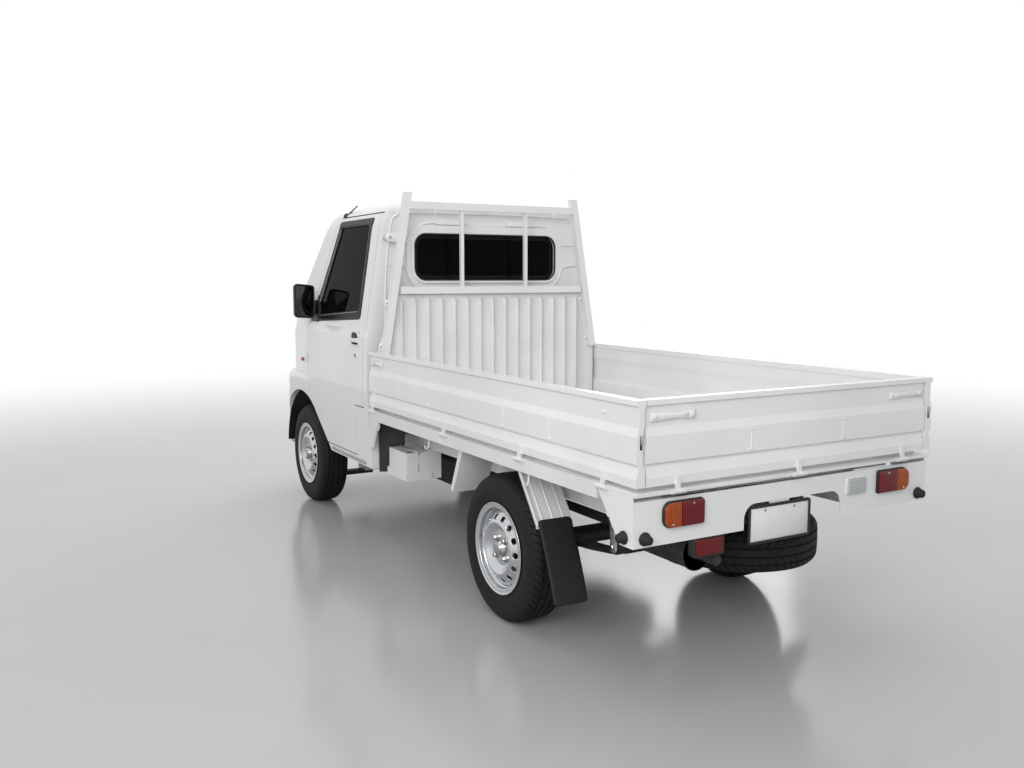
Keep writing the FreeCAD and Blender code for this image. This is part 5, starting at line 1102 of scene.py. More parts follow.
# Bright sill strip, and the antenna at the front of the roof
sill = {"x": 0.6715, "y": (-0.88, -0.372), "z": (0.402, 0.42)}
strip = plate("sillStrip", roundCorners(corners(sill["y"], sill["z"]), 0.003, 4),
              [(0, -0.004), (0, 0.0012), (-0.0015, 0.002)], (sill["x"], 0, 0), "left")
fitBoth(strip, pair, plated)
antenna = {"foot": (0.546, -0.925, 1.702), "tip": (0.508, -0.867, 1.753)}
foot, tip = np.array(antenna["foot"]), np.array(antenna["tip"])
whip = tube("whip", foot + (tip - foot) * np.linspace(0, 1, 12)[:, None], np.linspace(0.0062, 0.0026, 12), 12)
knob = tube("knob", tip + np.array([[0, 0, 0], [-0.0008, 0.0035, 0.0022], [-0.0016, 0.007, 0.0044]]),
            [0.003, 0.0046, 0.0026], 12)
mount = turned("mount", [(-0.01, 0.017), (0.003, 0.017), (0.009, 0.014), (0.014, 0.008), (0.016, 0.001)], foot,
               "X", 28)
fit(joined("antenna", [whip, knob, mount]), "chassis", blackPlastic)

print("nose ready")

# Rear wall of the cab: channel beads round the window, and pads above it
for name, x0, x1 in (("rearWallPadLeft", 0.135, 0.3), ("rearWallPadRight", -0.3, -0.135)):
    shape = roundCorners([(x0 - 0.012, 1.632), (x1 + 0.012, 1.632), (x1 - 0.01, 1.664), (x0 + 0.01, 1.664)],
                         0.0065, 5)
    fit(plate(name, shape, [(0.003, -0.003), (0, 0.002), (-0.003, 0.0095), (-0.005, 0.0105)], (0, cabBackY, 0),
              "back"), "chassis", enamel)


# A pressed bead on the rear wall: half a round bar laid along a path of (x, z)
def wallBead(name, points, radius, y):
    line = smoothPath(points, 6)
    path = np.stack([line[:, 0], np.full(len(line), y), line[:, 1]], 1)
    return tube(name, path, radius, 12)


brow = [(0.56, 1.541), (0.484, 1.541), (0.446, 1.547), (0.424, 1.57), (0.398, 1.618), (0.362, 1.638), (0.3, 1.646)]
skirt = [(0.56, 1.428), (0.495, 1.425), (0.466, 1.405), (0.452, 1.362), (0.42, 1.322), (0.37, 1.308), (0.0, 1.306)]
roofBead = [(0.585, 1.1), (0.578, 1.4), (0.548, 1.63), (0.515, 1.676), (0.455, 1.69), (0.0, 1.694)]
wallBeads = [wallBead("browBead", brow, 0.0075, -0.2885), wallBead("skirtBead", skirt, 0.0065, -0.2865),
             wallBead("roofBead", roofBead, 0.006, -0.2895)]
fitBoth(joined("rearWallBeads", wallBeads), pair, enamel)
middleBead = tube("browMiddle", [(x, -0.2885, 1.6345) for x in np.linspace(-0.125, 0.125, 9)], 0.0055, 12)
fit(middleBead, "chassis", enamel)
fit(ring("rearWindowBead", grown(rear, 0.004), grown(rear, 0.017), onBackPlane(-0.282), 0.0065, 0.004, 6),
    "chassis", enamel)

# Front wall of the bed: a thin sheet pressed into upright ribs, which end short of its rims
frontWall = {"y": (-0.24, -0.228), "ribs": 15, "ribHalf": 0.0105, "ribHeight": 0.012, "z": (0.703, 1.285),
             "ribZ": (0.752, 1.252)}


# A rib is half a cosine wave across, and fades in and out at its two ends
def makeFrontWall():
    f = frontWall
    places = np.linspace(-0.525, 0.525, f["ribs"])
    steps = np.array([-1.0, -0.75, -0.5, -0.25, 0, 0.25, 0.5, 0.75, 1.0]) * f["ribHalf"]
    columns = np.sort(np.concatenate([[-0.6485, -0.64, 0.64, 0.6485], np.linspace(-0.6, 0.6, 9),
                (places[:, None] + steps).ravel()]))
    low, high = f["ribZ"]
    rows = (f["z"][:1], np.linspace(low - 0.02, low + 0.01, 6), np.linspace(0.8, 1.2, 9),
            np.linspace(high - 0.01, high + 0.02, 6), f["z"][1:])
    z = np.concatenate(rows)[:, None]
    half = np.interp(z, (1.0, 1.285), (0.6485, 0.556))
    x = np.clip(np.broadcast_to(columns, (len(z), len(columns))), -half, half)
    near = np.abs(columns[:, None] - places).min(1)
    rise = climb(z, low - 0.012, 0.024) * climb(-z, -high - 0.012, 0.024)
    rise = rise * rise * (3 - 2 * rise) * (half > 0.02 + np.abs(columns))
    rib = f["ribHeight"] * np.cos(np.clip(near / f["ribHalf"], 0, 1) * np.pi / 2) ** 0.9 * rise
    face = np.stack(np.broadcast_arrays(x, f["y"][1] + rib, z), -1)
    behind = np.stack(np.broadcast_arrays(x, f["y"][0], z), -1)
    return surface("frontWallRibs", np.concatenate([face, behind[:, ::-1]], 1), caps=True)


fit(makeFrontWall(), "chassis", bedPaint, ["bed_front_wall"])

# Guard frame: rope hooks under its upper bar, brackets to the bed's front wall, and a lug to the cab
guard = {"hookX": (0.35, -0.35), "bracketZ": (1.02, 1.235), "lugZ": 1.562, "lugBolt": 0.055}


# The middle of the guard frame's leaning post by height
def guardPostX(z):
    return np.interp(z, (0.985, 1.784), (0.622, 0.49))


pieces = []
for x in guard["hookX"]:
    route = smoothPath([(x, -0.197, 1.716), (x, -0.186, 1.706), (x, -0.18, 1.69), (x, -0.186, 1.676),
                        (x, -0.196, 1.674)], 5)
    pieces.append(tube("hook", route, 0.0035, 10))
for side in (1, -1):
    for z in guard["bracketZ"]:
        x = guardPostX(z) * side
        pieces.append(plate("bracket", rectangle(0.06, 0.034, 0.006, 5) + (x, z),
                            [(0, -0.003), (0, 0.002), (-0.001, 0.003)], (0, -0.228, 0), "back"))
x = guardPostX(guard["lugZ"])
pieces.append(plate("lug", rectangle(0.078, 0.04, 0.014, 6) + (x + 0.036, guard["lugZ"]),
                    [(0, -0.004), (0, 0.003), (-0.001, 0.004)], (0, -0.226, 0), "back"))
pieces.append(plate("lugPost", circle(0.013, 24) + (x + guard["lugBolt"], guard["lugZ"]),
                    [(0, -0.062), (0, 0.004), (-0.002, 0.006)], (0, -0.226, 0), "back"))
fit(joined("guardFittings", pieces), "chassis", enamel)
bolts = [hexHead(0.0075, (0, 0.0055, 0.0068), 0.0016, (x + guard["lugBolt"], guard["lugZ"]), (0, -0.221, 0),
                 "back")]
for side in (1, -1):
    for z in guard["bracketZ"]:
        for step in (-0.02, 0.02):
            bolts.append(hexHead(0.0055, (0, 0.0035, 0.0045), 0.001, (guardPostX(z) * side + step, z),
                                 (0, -0.2255, 0), "back"))
fit(joined("guardBolts", bolts), "chassis", plated)

print("cab ready")

# Painted shade in the front wheel arches: a thin black sheet over the wheel and down behind it, where the arch lies
# in shadow
archShade = {"radius": 0.3895, "x": (0.318, 0.652)}


# The arc round the wheel goes on in three straight folds behind it, with a thin return inside
def makeArchShade():
    angle = np.linspace(math.radians(176), math.radians(52), 40)
    arc = np.stack([axles["frontY"] + archShade["radius"] * np.cos(angle),
                    axles["z"] + archShade["radius"] * np.sin(angle)], -1)
    line = np.concatenate([arc, [(-1.06, 0.517), (-0.96, 0.433), (-0.912, 0.397)]])
    inward = line + (np.array([axles["frontY"], axles["z"]]) - line) * 0.004
    section = np.concatenate([line, inward[::-1]])
    x = np.linspace(*archShade["x"], 9)[:, None]
    return surface("archShadeSheet", np.stack(np.broadcast_arrays(x, section[:, 0], section[:, 1]), -1), caps=False)


fitBoth(makeArchShade(), pair, blackPlastic)

# Rear arch sheets: three bright beads down each sloping face
archFaces = {"back": ((1.158, 0.653), (1.305, 0.45)), "front": ((0.712, 0.653), (0.617, 0.45))}
archBead = {"x": (0.535, 0.581, 0.627), "radius": 0.0058, "proud": 0.0022}


# The two ends of an arch sheet's face, the direction down it and the one square out of it
def archFace(key):
    start, end = np.array(archFaces[key])
    slope = (end - start) / np.linalg.norm(end - start)
    return start, end, slope, np.array((-slope[1], slope[0])) * (1 if key == "back" else -1)


beads = []
for key in archFaces:
    start, end, slope, out = archFace(key)
    for x in archBead["x"]:
        share = np.linspace(0.1, 0.93, 12)[:, None]
        line = start * (1 - share) + end * share + out * archBead["proud"]
        beads.append(tube("bead", np.insert(line, 0, x, axis=1), archBead["radius"], 10))
fitBoth(joined("archBeads", beads), pair, enamel)

# Mud flaps: a bowed rubber sheet with rounded ends, held by three studs
flap = {"x": (0.508, 0.652), "top": (1.302, 0.478), "bottom": (1.422, 0.186), "thick": 0.0045, "round": 0.016}


# The sheet narrows over a quarter round at both ends, and bows back along its height
def makeFlap():
    f = flap
    top, bottom = np.array(f["top"]), np.array(f["bottom"])
    long = np.linalg.norm(bottom - top)
    down = np.concatenate([np.linspace(0, f["round"], 7), np.linspace(0.03, long - 0.03, 14),
                           np.linspace(long - f["round"], long, 7)])[:, None]
    fromEnd = np.minimum(np.minimum(down, long - down), f["round"])
    narrow = f["round"] - np.sqrt(f["round"] ** 2 - (f["round"] - fromEnd) ** 2)
    share = np.linspace(-1, 1, 13)[None, :]
    middle, half = (f["x"][0] + f["x"][1]) / 2, (f["x"][1] - f["x"][0]) / 2
    x = middle + share * (half - narrow)
    bow = 0.007 * np.sin(down / long * np.pi) - 0.003 * share ** 2
    y = top[0] + (bottom - top)[0] * down / long + bow
    z = top[1] + (bottom - top)[1] * down / long
    face = np.stack(np.broadcast_arrays(x, y + f["thick"] / 2, z), -1)
    behind = np.stack(np.broadcast_arrays(x, y - f["thick"] / 2, z), -1)
    return surface("mudFlap", np.concatenate([face, behind[:, ::-1]], 1), caps=True)


fitBoth(makeFlap(), pair, rubber, (["mud_flaps"], []))
studs = [hexHead(0.006, (-0.004, 0.0035, 0.0048), 0.0012, (x, 0.462), (0, 1.3135, 0), "back")
         for x in (0.53, 0.58, 0.63)]
fitBoth(joined("flapBolts", studs), pair, rubber)

# Outer flange of each rear arch sheet, a strip that stands square to the slope
for name, key in (("archFlangeBack", "back"), ("archFlangeFront", "front")):
    start, end, slope, out = archFace(key)
    start, end = start + slope * 0.004, end - slope * 0.004
    edges, radii = [start, end, end + out * 0.02, start + out * 0.022], [0.001, 0.001, 0.005, 0.005]
    if key == "front":
        edges, radii = edges[::-1], radii[::-1]
    steps = [(-0.0003, -0.0028), (0, -0.0022), (0, 0), (-0.0003, 0.0004)]
    fitBoth(plate(name, roundCorners(edges, radii, 4), steps, (0.6616, 0, 0), "left", smooth=False), pair, enamel)


# A flat strap round a section, as a closed band of the given width and thickness
def band(name, outline, y, width, thick):
    rows = [(outline, y - width / 2), (grown(outline, thick), y - width / 2),
            (grown(outline, thick), y + width / 2), (outline, y + width / 2)]
    points = [np.stack(np.broadcast_arrays(section[:, 0], at, section[:, 1]), -1) for section, at in rows]
    return surface(name, np.stack(points), closeRows=True, smooth=False)


# Fuel tank straps, battery and muffler seams
tank = {"x": (-0.63, -0.46), "z": (0.33, 0.54), "round": 0.022, "strapY": (0.02, 0.285)}
tankOutline = roundCorners(corners(tank["x"], tank["z"]), tank["round"], 6)
straps = [band("strap", grown(tankOutline, 0.0006), y, 0.03, 0.0022) for y in tank["strapY"]]
fit(joined("tankStraps", straps), "chassis", zinc)

battery = {"x": (0.486, 0.598), "y": (-0.209, -0.002), "z": (0.384, 0.512)}


# The case with its cover, caps and posts, in a tray with a lip, under a clamp with two rods
def makeBattery():
    (x0, x1), (y0, y1), (z0, z1) = battery["x"], battery["y"], battery["z"]
    middleX = between(x0, x1, 0.5)
    shape = roundCorners(corners((x0, x1), (y0, y1)), 0.006, 5)
    case = plate("batteryCase", shape, [(-0.002, z0), (0, z0 + 0.002), (0, z1 - 0.034), (0.0015, z1 - 0.032),
                (0.0015, z1 - 0.03), (0, z1 - 0.028)], (0, 0, 0), "up")
    lid = plate("batteryLid", shape, [(0.0018, z1 - 0.0285), (0.0018, z1 - 0.016), (-0.001, z1 - 0.013),
                (-0.01, z1 - 0.012), (-0.012, z1 - 0.009)], (0, 0, 0), "up")
    caps = [turned("fillCap", [(0, 0.009), (0.003, 0.009), (0.004, 0.007), (0.004, 0.001)],
                   (middleX, y, z1 - 0.0095), "Z", 20) for y in np.linspace(y0 + 0.035, y1 - 0.035, 6)]
    lid = joined("batteryCover", [lid] + caps)
    posts = [turned("post", [(0, 0.0085), (0.01, 0.008), (0.012, 0.006), (0.012, 0.001)],
                    (between(x0, x1, 0.18), y, z1 - 0.012), "Z", 20) for y in (y0 + 0.024, y1 - 0.024)]
    red = plate("batteryRedCap", rectangle(0.034, 0.03, 0.006, 5) + (between(x0, x1, 0.8), y1 - 0.024),
                pillow(0.012, 0.004), (0, 0, z1 - 0.011), "up")
    tray = roundCorners(corners((x0 - 0.006, x1 + 0.008), (y0 - 0.008, y1 + 0.008)), 0.006, 5)
    base = plate("trayFloor", tray, [(-0.001, 0.3765), (0, 0.378), (0, 0.3845)], (0, 0, 0), "up", smooth=False)
    rows = [(grown(tray, outset), z) for outset, z in (
        (0, 0.38), (0.0005, 0.414), (0.0055, 0.4155), (0.0055, 0.414), (-0.0005, 0.4125), (-0.0015, 0.38))]
    points = np.stack([np.insert(flat, 2, z, axis=1) for flat, z in rows])
    lip = surface("trayLip", points, closeRows=True, smooth=False)
    bar = tube("clampBar", [(middleX, y0 - 0.01, z1 - 0.002),
                            (between(x0, x1, 0.5), (y0 + y1) / 2, z1 + 0.0005),
                            (middleX, y1 + 0.01, z1 - 0.002)], 0.0055, 12)
    rods = [tube("rod", [(middleX, y, z) for z in (0.4, 0.45, z1 + 0.006)], 0.0032, 10)
            for y in (y0 - 0.0045, y1 + 0.0045)]
    posts, tray = joined("batteryPosts", posts), joined("batteryTray", [base, lip])
    return case, lid, posts, red, tray, joined("batteryClamp", [bar] + rods)


for piece, material in zip(makeBattery(), (paleCase, blackPlastic, plated, redPlastic, enamel, zinc)):
    fit(piece, "chassis", material)

muffler = {"x": 0.31, "z": 0.43, "seamY": (1.406, 1.778), "clipY": (1.5, 1.69)}
seamProfile = [(-0.004, 0.0585), (-0.004, 0.0625), (-0.002, 0.0635), (0.002, 0.0635), (0.004, 0.0625),
               (0.004, 0.0585)]
clipProfile = [(-0.012, 0.0585), (-0.012, 0.0612), (0.012, 0.0612), (0.012, 0.0585)]
seams = [turned("seam", profile, (muffler["x"], y, muffler["z"]), "Y", 48)
         for profile, key in ((seamProfile, "seamY"), (clipProfile, "clipY")) for y in muffler[key]]
fit(joined("mufflerSeams", seams), "chassis", iron)

# Springs: two U-bolts over each axle seat, with their nuts; shackle bolts at the spring ends
spring = {"x": 0.43, "uBoltY": (-0.045, 0.045), "uBoltHalf": 0.036, "uBoltZ": (0.352, 0.52)}
pieces = []
x, half, (low, high) = spring["x"], spring["uBoltHalf"], spring["uBoltZ"]
for y in axles["rearY"] + np.array(spring["uBoltY"]):
    route = smoothPath([(x - half, y, low), (x - half, y, high - 0.03), (x - 0.03, y, high - 0.004),
                        (x, y, high + 0.003), (x + 0.03, y, high - 0.004), (x + half, y, high - 0.03),
                        (x + half, y, low)], 4)
    pieces.append(tube("uBolt", route, 0.0058, 12))
    for side in (-1, 1):
        pieces.append(hexHead(0.0105, (0, 0.01, 0.011), 0.002, (x + half * side, y), (0, 0, low + 0.006), "up"))
for y, z in ((0.47, 0.47), (1.515, 0.47)):
    pieces.append(hexHead(0.012, (-0.002, 0.009, 0.011), 0.002, (y, z), (0.4555, 0, 0), "left"))
for z in (0.405, 0.5):
    pieces.append(hexHead(0.0105, (0.002, 0.013, 0.015), 0.002, (1.512, z), (0.4605, 0, 0), "left"))
fitBoth(joined("springBolts", pieces), pair, plated)

# Shackle: a plate with round ends that hangs the spring's rear eye from the rail
link = roundCorners([(1.494, 0.383), (1.53, 0.383), (1.534, 0.53), (1.49, 0.53)], [0.0165, 0.0165, 0.01, 0.01], 7)
fitBoth(plate("springShackle", link, [(-0.0005, -0.001), (0, 0), (0, 0.005), (-0.001, 0.006)], (0.4602, 0, 0),
              "left"), pair, zinc)

# Holes in the outer side of the rails, smaller ones at the back: each is painted shade, a dark disc laid on the rail
# in place of an opening
railHoleShades = {"x": 0.46, "z": 0.59, "y": (0.1, 0.26, 0.54, 1.3, 1.62, 1.7), "smallY": (1.79, 1.845)}
holeShades = []
for y in railHoleShades["y"] + railHoleShades["smallY"]:
    radius = 0.008 if y in railHoleShades["smallY"] else 0.011
    holeShades.append(plate("hole", circle(radius, 24) + (y, railHoleShades["z"]),
                       [(0.0015, -0.002), (0.0015, 0.0006), (0, 0.001), (-0.001, 0.0004), (-0.0015, -0.001)],
                       (railHoleShades["x"], 0, 0), "left"))
fitBoth(joined("railHoleShades", holeShades), pair, rubber)

print("underside ready")

# Cabin: dashboard hood, vents and shelf, steering wheel and levers
dash = {"topZ": 1.005, "topY": -1.38, "lowY": -1.34, "lowZ": 0.78}


# The sloping face of the dashboard: x across and a share of its height, raised along its normal
def onDash(flat, depth):
    share = (flat[..., 1] - dash["lowZ"]) / (dash["topZ"] - dash["lowZ"])
    depth = lifted(flat, depth)
    y = between(dash["lowY"], dash["topY"], share)
    return np.stack([flat[..., 0], y + depth * 0.985, flat[..., 1] + depth * 0.175], -1)


hoodShape = roundCorners([(0.17, 1.006), (0.45, 1.006), (0.42, 1.07), (0.2, 1.07)], [0.004, 0.004, 0.03, 0.03], 8)
hood = plate("hood", hoodShape, [(-0.01, -0.11), (-0.002, -0.1), (0, -0.06), (0, -0.004), (-0.003, 0),
                                 (-0.008, -0.002), (-0.01, -0.03)], (0, -1.385, 0), "back")
panels = [hood, swept("shelf", rectangle(0.34, 0.05, 0.012, 6) + (-0.33, 0.945),
                      [(1, -0.002), (1, 0.004), (0.97, 0.006), (0.93, 0.003), (0.9, -0.001)], onDash),
          swept("glovebox", rectangle(0.38, 0.105, 0.016, 6) + (-0.33, 0.85),
                [(1, -0.002), (1, 0.003), (0.98, 0.005), (0.001, 0.005)], onDash),
          swept("centre", rectangle(0.2, 0.18, 0.014, 6) + (0.0, 0.89),
                [(1, -0.002), (1, 0.005), (0.98, 0.007), (0.001, 0.007)], onDash)]
fit(joined("dashPanels", panels), "chassis", greyPlastic)
dark = []
for x in (-0.53, -0.055, 0.055, 0.53):
    vent = rectangle(0.08, 0.046, 0.008, 5) + (x, 0.95)
    depth = 0.007 if abs(x) < 0.1 else 0.0
    dark.append(swept("vent", vent, [(1, depth - 0.002), (1, depth + 0.002), (0.96, depth + 0.003),
                (0.9, depth + 0.0012), (0.001, depth + 0.0012)], onDash))
    for step in (-0.012, -0.004, 0.004, 0.012):
        slat = rectangle(0.07, 0.0024, 0.0009, 3) + (x, 0.95 + step)
        dark.append(swept("slat", slat, [(1, depth), (1, depth + 0.004), (0.9, depth + 0.0046)], onDash))
for x in (-0.05, 0.0, 0.05):
    knobAt = circle(0.014, 24) + (x, 0.842)
    dark.append(swept("heaterKnob", knobAt, [(1.1, 0.006), (1.1, 0.009), (1, 0.01), (0.92, 0.022), (0.8, 0.024),
                (0.001, 0.024)], onDash))
radio = swept("radio", rectangle(0.17, 0.046, 0.004, 4) + (0.0, 0.898),
              [(1, 0.006), (1, 0.009), (0.98, 0.01), (0.001, 0.01)], onDash)
dark.append(radio)
cluster = plate("cluster", grown(hoodShape, -0.0115), [(0, -0.034), (0, -0.0285), (-0.001, -0.028)],
                (0, -1.385, 0), "back")
dark.append(cluster)
fit(joined("dashControls", dark), "chassis", blackPlastic)

wheel = {"centre": (0.31, -1.32, 0.94), "radius": 0.185, "tilt": 50}


# The wheel's own frame: across, up in its plane, and out along the column towards the driver
def makeSteeringWheel():
    w = wheel
    tilt = math.radians(w["tilt"])
    across = np.array((1.0, 0, 0))
    up = np.array((0, -math.cos(tilt), math.sin(tilt)))
    out = np.array((0, math.sin(tilt), math.cos(tilt)))
    centre = np.array(w["centre"])

    def place(flat, depth):
        return centre + flat[..., :1] * across + flat[..., 1:2] * up + lifted(flat, depth)[..., None] * out

    turn = np.linspace(0, 2 * np.pi, 96, endpoint=False)[:, None]
    grip = 0.0128 + 0.0012 * np.cos(turn[:, 0] * 2)
    rim = tube("rim", place(np.concatenate([np.cos(turn), np.sin(turn)], 1) * (w["radius"] - 0.001), 0.0), grip,
               16, closed=True)
    spokes = []
    for degrees in (-8, 188, 250, 290):
        angle = math.radians(degrees)
        reach = np.linspace(0.03, w["radius"] - 0.006, 10)[:, None]
        line = place(np.concatenate([np.cos(angle) * reach, np.sin(angle) * reach], 1),
                     -0.014 + 0.014 * ((reach - 0.03) / 0.15) ** 2)
        spokes.append(tube("spoke", line, np.linspace(0.013, 0.008, 10), 12, flatten=0.6))
    hub = swept("hub", rectangle(0.12, 0.086, 0.034, 9),
                [(0.3, -0.05), (0.62, -0.04), (0.92, -0.024), (1, -0.012), (1, -0.004), (0.96, 0.003),
                 (0.84, 0.008), (0.001, 0.01)], place)
    # The column cover runs from the hub down to the dashboard
    section = circle(1, 24) * (0.034, 0.03)
    steps = ((0.55, 0.03), (0.95, 0.036), (1.0, 0.05), (1.1, 0.09), (1.15, 0.128), (1.15, 0.14))
    rows = [place(section * size, -depth) for size, depth in steps]
    cover = surface("column", np.stack(rows), caps=True)
    stalks = []
    for side in (-1, 1):
        line = np.array([(0.03 * side, 0.004), (0.08 * side, 0.01), (0.128 * side, 0.022)])
        stalks.append(tube("stalk", place(smoothPath(line, 6), -0.07), np.linspace(0.0042, 0.0068, 13), 10))
    return joined("steeringWheel", [rim, hub] + spokes), joined("steeringColumn", [cover] + stalks)


rimPart, column = makeSteeringWheel()
fit(rimPart, "chassis", blackPlastic, ["steering_wheel"])
fit(column, "chassis", greyPlastic)

# Gear lever between the seats
lever = tube("lever", smoothPath([(0.0, -1.01, 0.45), (0.0, -1.02, 0.6), (0.0, -1.042, 0.76),
                                  (0.0, -1.058, 0.866)], 5), np.linspace(0.0075, 0.0055, 16), 12)
fit(lever, "chassis", plated)
knob = turned("gearKnob", [(-0.03, 0.01), (-0.022, 0.014), (-0.006, 0.021), (0.008, 0.022), (0.018, 0.018),
                           (0.023, 0.01), (0.024, 0.001)], (0, -1.058, 0.876), "Z", 28)
boot = turned("gearBoot", [(0.0, 0.06), (0.01, 0.056), (0.02, 0.044), (0.03, 0.04), (0.04, 0.03), (0.05, 0.026),
                           (0.064, 0.013), (0.066, 0.006)], (0, -1.011, 0.4565), "Z", 28)
fit(joined("gearTop", [knob, boot]), "chassis", blackPlastic)

print("cabin ready")

# Seats: closed crowned forms, swollen by a short cloth run, with their seams drawn in after it
seat = {"x": 0.31, "width": 0.47, "frontY": -0.866, "backY": -0.392, "low": 0.6165, "high": 0.738, "half": 0.239,
        "voxel": 0.009, "capMm": 7, "rake": ((-0.494, 0.724), (-0.386, 0.724), (-0.345, 1.262))}


# The pad's outline shrinks over crowned rows from one face round its sides to the other face
def makePad(name, outline, thick, crown, toWorld):
    edge = thick * 0.32
    angle = np.linspace(0, np.pi / 2, 6)
    lower = [(0.001, 0.0), (0.5, 0.0), (0.88, 0.002)]
    bulge = [(0.93 + 0.05 * math.sin(a), edge * (1 - math.cos(a)) + 0.002) for a in angle]
    upper = [(0.98 - 0.12 * (1 - math.cos(a)), thick - edge + edge * 0.85 * math.sin(a)) for a in angle]
    top = [(0.8, thick + crown * 0.1), (0.65, thick + crown * 0.45), (0.45, thick + crown * 0.75),
           (0.22, thick + crown * 0.95), (0.001, thick + crown)]
    return swept(name, outline, lower + bulge + upper + top, toWorld)


# Pulls the sides of an outline in between its corners
def waisted(outline, pull):
    half = outline.max(0)
    return outline * (1 - pull * (1 - (np.abs(outline[:, ::-1]) / half[::-1]) ** 2) * (np.abs(outline) / half) ** 4)


# Remeshes the pad evenly, lets pressure swell its cover for twenty frames, and keeps each point's
# move under the cap
def swollen(piece, low, high):
    remesh = piece.modifiers.new("evenMesh", "REMESH")
    remesh.mode = "VOXEL"
    remesh.voxel_size = seat["voxel"]
    applied(piece)
    start = coordinates(piece.data)
    puff = piece.modifiers.new("cover", "CLOTH")
    puff.settings.use_pressure = True
    puff.settings.uniform_pressure_force = 4
    puff.settings.effector_weights.gravity = 0
    puff.settings.quality = 5
    for number in range(1, 21):
        bpy.context.scene.frame_set(number)
        seen = piece.evaluated_get(bpy.context.evaluated_depsgraph_get())
    moved = coordinates(seen.to_mesh()) - start
    seen.to_mesh_clear()
    piece.modifiers.clear()
    bpy.context.scene.frame_set(1)
    reach = np.linalg.norm(moved, axis=1, keepdims=True)
    start = start + moved * (seat["capMm"] / 1000) / np.maximum(reach + seat["capMm"] / 1000, 1e-6)
    piece.data.vertices.foreach_set("co", np.clip(start, low, high).ravel())
    smooth = piece.modifiers.new("fine", "SUBSURF")
    smooth.levels = smooth.render_levels = 1
    return applied(piece)


# Seams are grooves: each point sinks against its normal by how near it lies to a seam line
def seamed(piece, depthAt):
    mesh = piece.data
    co = coordinates(mesh)
    normals = readAll(mesh.vertex_normals, "vector", width=3).reshape(-1, 3)
    co = co - normals * depthAt(co, normals)[:, None]
    mesh.vertices.foreach_set("co", co.ravel())
    mesh.polygons.foreach_set("use_smooth", np.ones(len(mesh.polygons), bool))
    mesh.update()
    return piece


# The depth of a seam by the distance from its line, as a bell curve
def groove(distance, width=0.006):
    return np.exp(-(distance / width) ** 2)


# Five cross channels within a panel, and a deeper seam round it
def panelSeams(x, y, halfX, seamY):
    wide, tall = np.abs(x), np.abs(y)
    channels = sum(groove(y - line) for line in (-0.13, -0.065, 0, 0.065, 0.13)) * (wide < halfX) * (tall < 0.19)
    around = groove(wide - halfX - 0.002) * (tall < 0.205) + groove(tall - seamY) * (wide < halfX + 0.005)
    return np.maximum(channels, around * 1.3)


# The seat cushion, with its seamed panel and a welt round its edge
def makeCushion():
    s = seat
    deep = s["backY"] - s["frontY"]
    middle = np.array([s["x"], (s["frontY"] + s["backY"]) / 2, s["low"]])
    outline = waisted(rectangle(s["width"] - 0.016, deep - 0.016, 0.07, 10), 0.018)
    thick = s["high"] - s["low"] - 0.022

    def place(flat, depth):
        x, y = flat[:, 0], flat[:, 1]
        return middle + np.stack([x, y, depth - 0.008 * np.clip(y / deep + 0.3, 0, 1)], -1)
    pad = makePad("seatCushion", outline, thick, 0.012, place)
    pad = swollen(pad, (s["x"] - s["half"], s["frontY"], s["low"] - 0.0008),
                  (s["x"] + s["half"], s["backY"], s["high"]))

    def depthAt(co, normals):
        top = np.clip(normals[:, 2] * 2 - 0.8, 0, 1)
        seams = panelSeams(co[:, 0] - middle[0], co[:, 1] - middle[1], 0.15, 0.195)
        welt = groove(co[:, 2] - (s["low"] + thick * 0.8), 0.005) * (np.abs(normals[:, 2]) < 0.8) * 0.8
        return 0.0055 * (top * seams + welt)
    return seamed(pad, depthAt)


# The seat back, leaning and thinner towards its top, with a panel of the same kind
def makeBack():
    s = seat
    (_, lowZ), (backY, _), (topY, topZ) = s["rake"]
    height = topZ - lowZ
    lean = (topY - backY) / height
    thick = 0.098
    middle = np.array([s["x"], 0, (lowZ + topZ) / 2])
    points = [(-s["width"] / 2 + 0.008, -height / 2 + 0.006), (s["width"] / 2 - 0.008, -height / 2 + 0.006),
              (s["width"] / 2 - 0.03, height / 2 - 0.01), (-s["width"] / 2 + 0.03, height / 2 - 0.01)]
    outline = waisted(roundCorners(points, [0.05, 0.05, 0.09, 0.09], 10), 0.015)

    def place(flat, depth):
        x, z = flat[:, 0], flat[:, 1]
        y = backY - 0.004 + lean * (z + height / 2) - depth * (1 - 0.3 * (z / height + 0.5))
        return np.stack([middle[0] + x, y, middle[2] + z], -1)
    pad = makePad("seatBack", outline, thick - 0.012, 0.012, place)
    pad = swollen(pad, (s["x"] - s["half"], -0.498, 0.7205), (s["x"] + s["half"], -0.3455, 1.265))

    def depthAt(co, normals):
        face = np.clip(-normals[:, 1] * 2 - 0.8, 0, 1)
        return 0.0055 * face * panelSeams(co[:, 0] - middle[0], co[:, 2] - middle[2] + 0.02, 0.13, 0.2)
    return seamed(pad, depthAt)


for pad, nodeName in ((makeCushion(), "seat_cushions"), (makeBack(), "seat_backs")):
    image = mirrorImage(pad, f"{pad.name}_right")
    pad.name = f"{pad.name}_left"
    for piece in (pad, image):
        fit(piece, "chassis", cloth, [nodeName])

print("seats ready")

# Floor and backdrop: pale near the truck, and white to the eye further off, so that no horizon shows
stage = {"near": 3.4, "far": 10.0, "world": 0.53, "topPower": 88, "frontPower": 108, "rearPower": 232}


# One for rays that come straight from the camera, through glass or off a mirror, and else nought
def seenRays(tree):
    rays = addNode(tree, "LightPath")
    seen = addNode(tree, "Math", {"operation": "MAXIMUM"},
                   [(0, rays, "Is Camera Ray"), (1, rays, "Is Transmission Ray")])
    return addNode(tree, "Math", {"operation": "MAXIMUM"}, [(0, seen, "Value"), (1, rays, "Is Glossy Ray")])


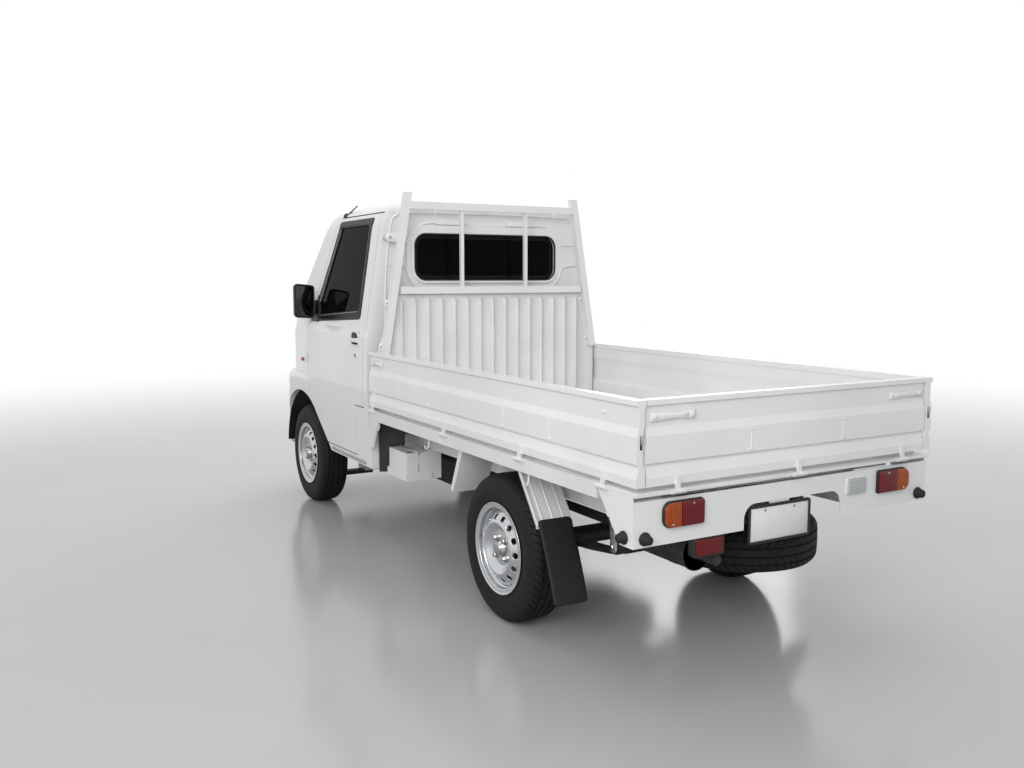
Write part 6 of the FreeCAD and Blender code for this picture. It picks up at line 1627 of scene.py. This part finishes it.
# The floor's own colour gives way to plain white light with distance, and the world is white too
def makeStage():
    floorMesh = makeMesh("floor", [(*point, 0) for point in corners((-60, 60), (-60, 60))], range(4),
                         np.array([4]), False)
    material, tree, shader, place = newMaterial("paleStudioFloor", {"Roughness": 0.17, "IOR": 1.45})
    toned(tree, shader, place, "B5B6B7", "B8B9B9", 900, 0)
    distance = addNode(tree, "VectorMath", {"operation": "LENGTH"}, [(0, place, "Object")])
    fade = addNode(tree, "MapRange", {"From Min": stage["near"], "From Max": stage["far"],
                "interpolation_type": "SMOOTHSTEP"}, [("Value", distance, "Value")])
    seen = seenRays(tree)
    share = addNode(tree, "Math", {"operation": "MULTIPLY"}, [(0, fade, "Result"), (1, seen, "Value")])
    white = addNode(tree, "Emission", {"Color": (1, 1, 1, 1), "Strength": 1.0})
    mix = addNode(tree, "MixShader", {}, [(0, share, "Value"), (1, shader, "BSDF"), (2, white, "Emission")])
    tree.links.new(mix.outputs["Shader"], tree.nodes["Material Output"].inputs["Surface"])
    floorMesh.data.materials.append(material)
    world = bpy.data.worlds.new("studio")
    bpy.context.scene.world = world
    world.use_nodes = True
    tree = world.node_tree
    backdrop = tree.nodes["Background"]
    backdrop.inputs["Strength"].default_value = stage["world"]
    backdrop.inputs["Color"].default_value = (1, 1, 1, 1)
    white = addNode(tree, "Background", {"Color": (1, 1, 1, 1), "Strength": 1.0})
    seen = seenRays(tree)
    mix = addNode(tree, "MixShader", {}, [(0, seen, "Value"), (1, backdrop, "Background"),
                (2, white, "Background")])
    tree.links.new(mix.outputs["Shader"], tree.nodes["World Output"].inputs["Surface"])


# A rectangular soft light at a place, turned towards a target
def areaLamp(name, place, target, size, power):
    lamp = bpy.data.lights.new(name, "AREA")
    lamp.shape = "RECTANGLE"
    lamp.size, lamp.size_y = size
    lamp.energy = power
    holder = bpy.data.objects.new(name, lamp)
    holder.location = place
    holder.rotation_euler = (Vector(target) - Vector(place)).to_track_quat("-Z", "Y").to_euler()
    bpy.context.scene.collection.objects.link(holder)


makeStage()
areaLamp("topSoftbox", (0, -0.5, 5.2), (0, 0, 0), (5.0, 6.0), stage["topPower"])
areaLamp("frontSoftbox", (-4.5, -5.0, 3.6), (0, 0, 0.8), (4.0, 3.0), stage["frontPower"])
areaLamp("rearSoftbox", (4.6, 5.0, 3.4), (0, 0.3, 0.7), (4.0, 3.0), stage["rearPower"])

# The camera stands behind and to the left of the truck, as in the photograph
view = {"place": (2.4376, 4.2129, 1.3661), "yaw": 29.93, "pitch": 6.41, "focalPixels": 952.64}
camera = bpy.data.cameras.new("photoCamera")
camera.sensor_width = 36
camera.lens = view["focalPixels"] / 1024 * 36
yaw, pitch = math.radians(view["yaw"]), math.radians(view["pitch"])
forward = Vector((-math.sin(yaw) * math.cos(pitch), -math.cos(yaw) * math.cos(pitch), -math.sin(pitch)))
holder = bpy.data.objects.new("photoCamera", camera)
holder.location = view["place"]
holder.rotation_euler = forward.to_track_quat("-Z", "Y").to_euler()
bpy.context.scene.collection.objects.link(holder)
bpy.context.scene.camera = holder
bpy.context.scene.view_settings.view_transform = "Standard"

print("scene ready")
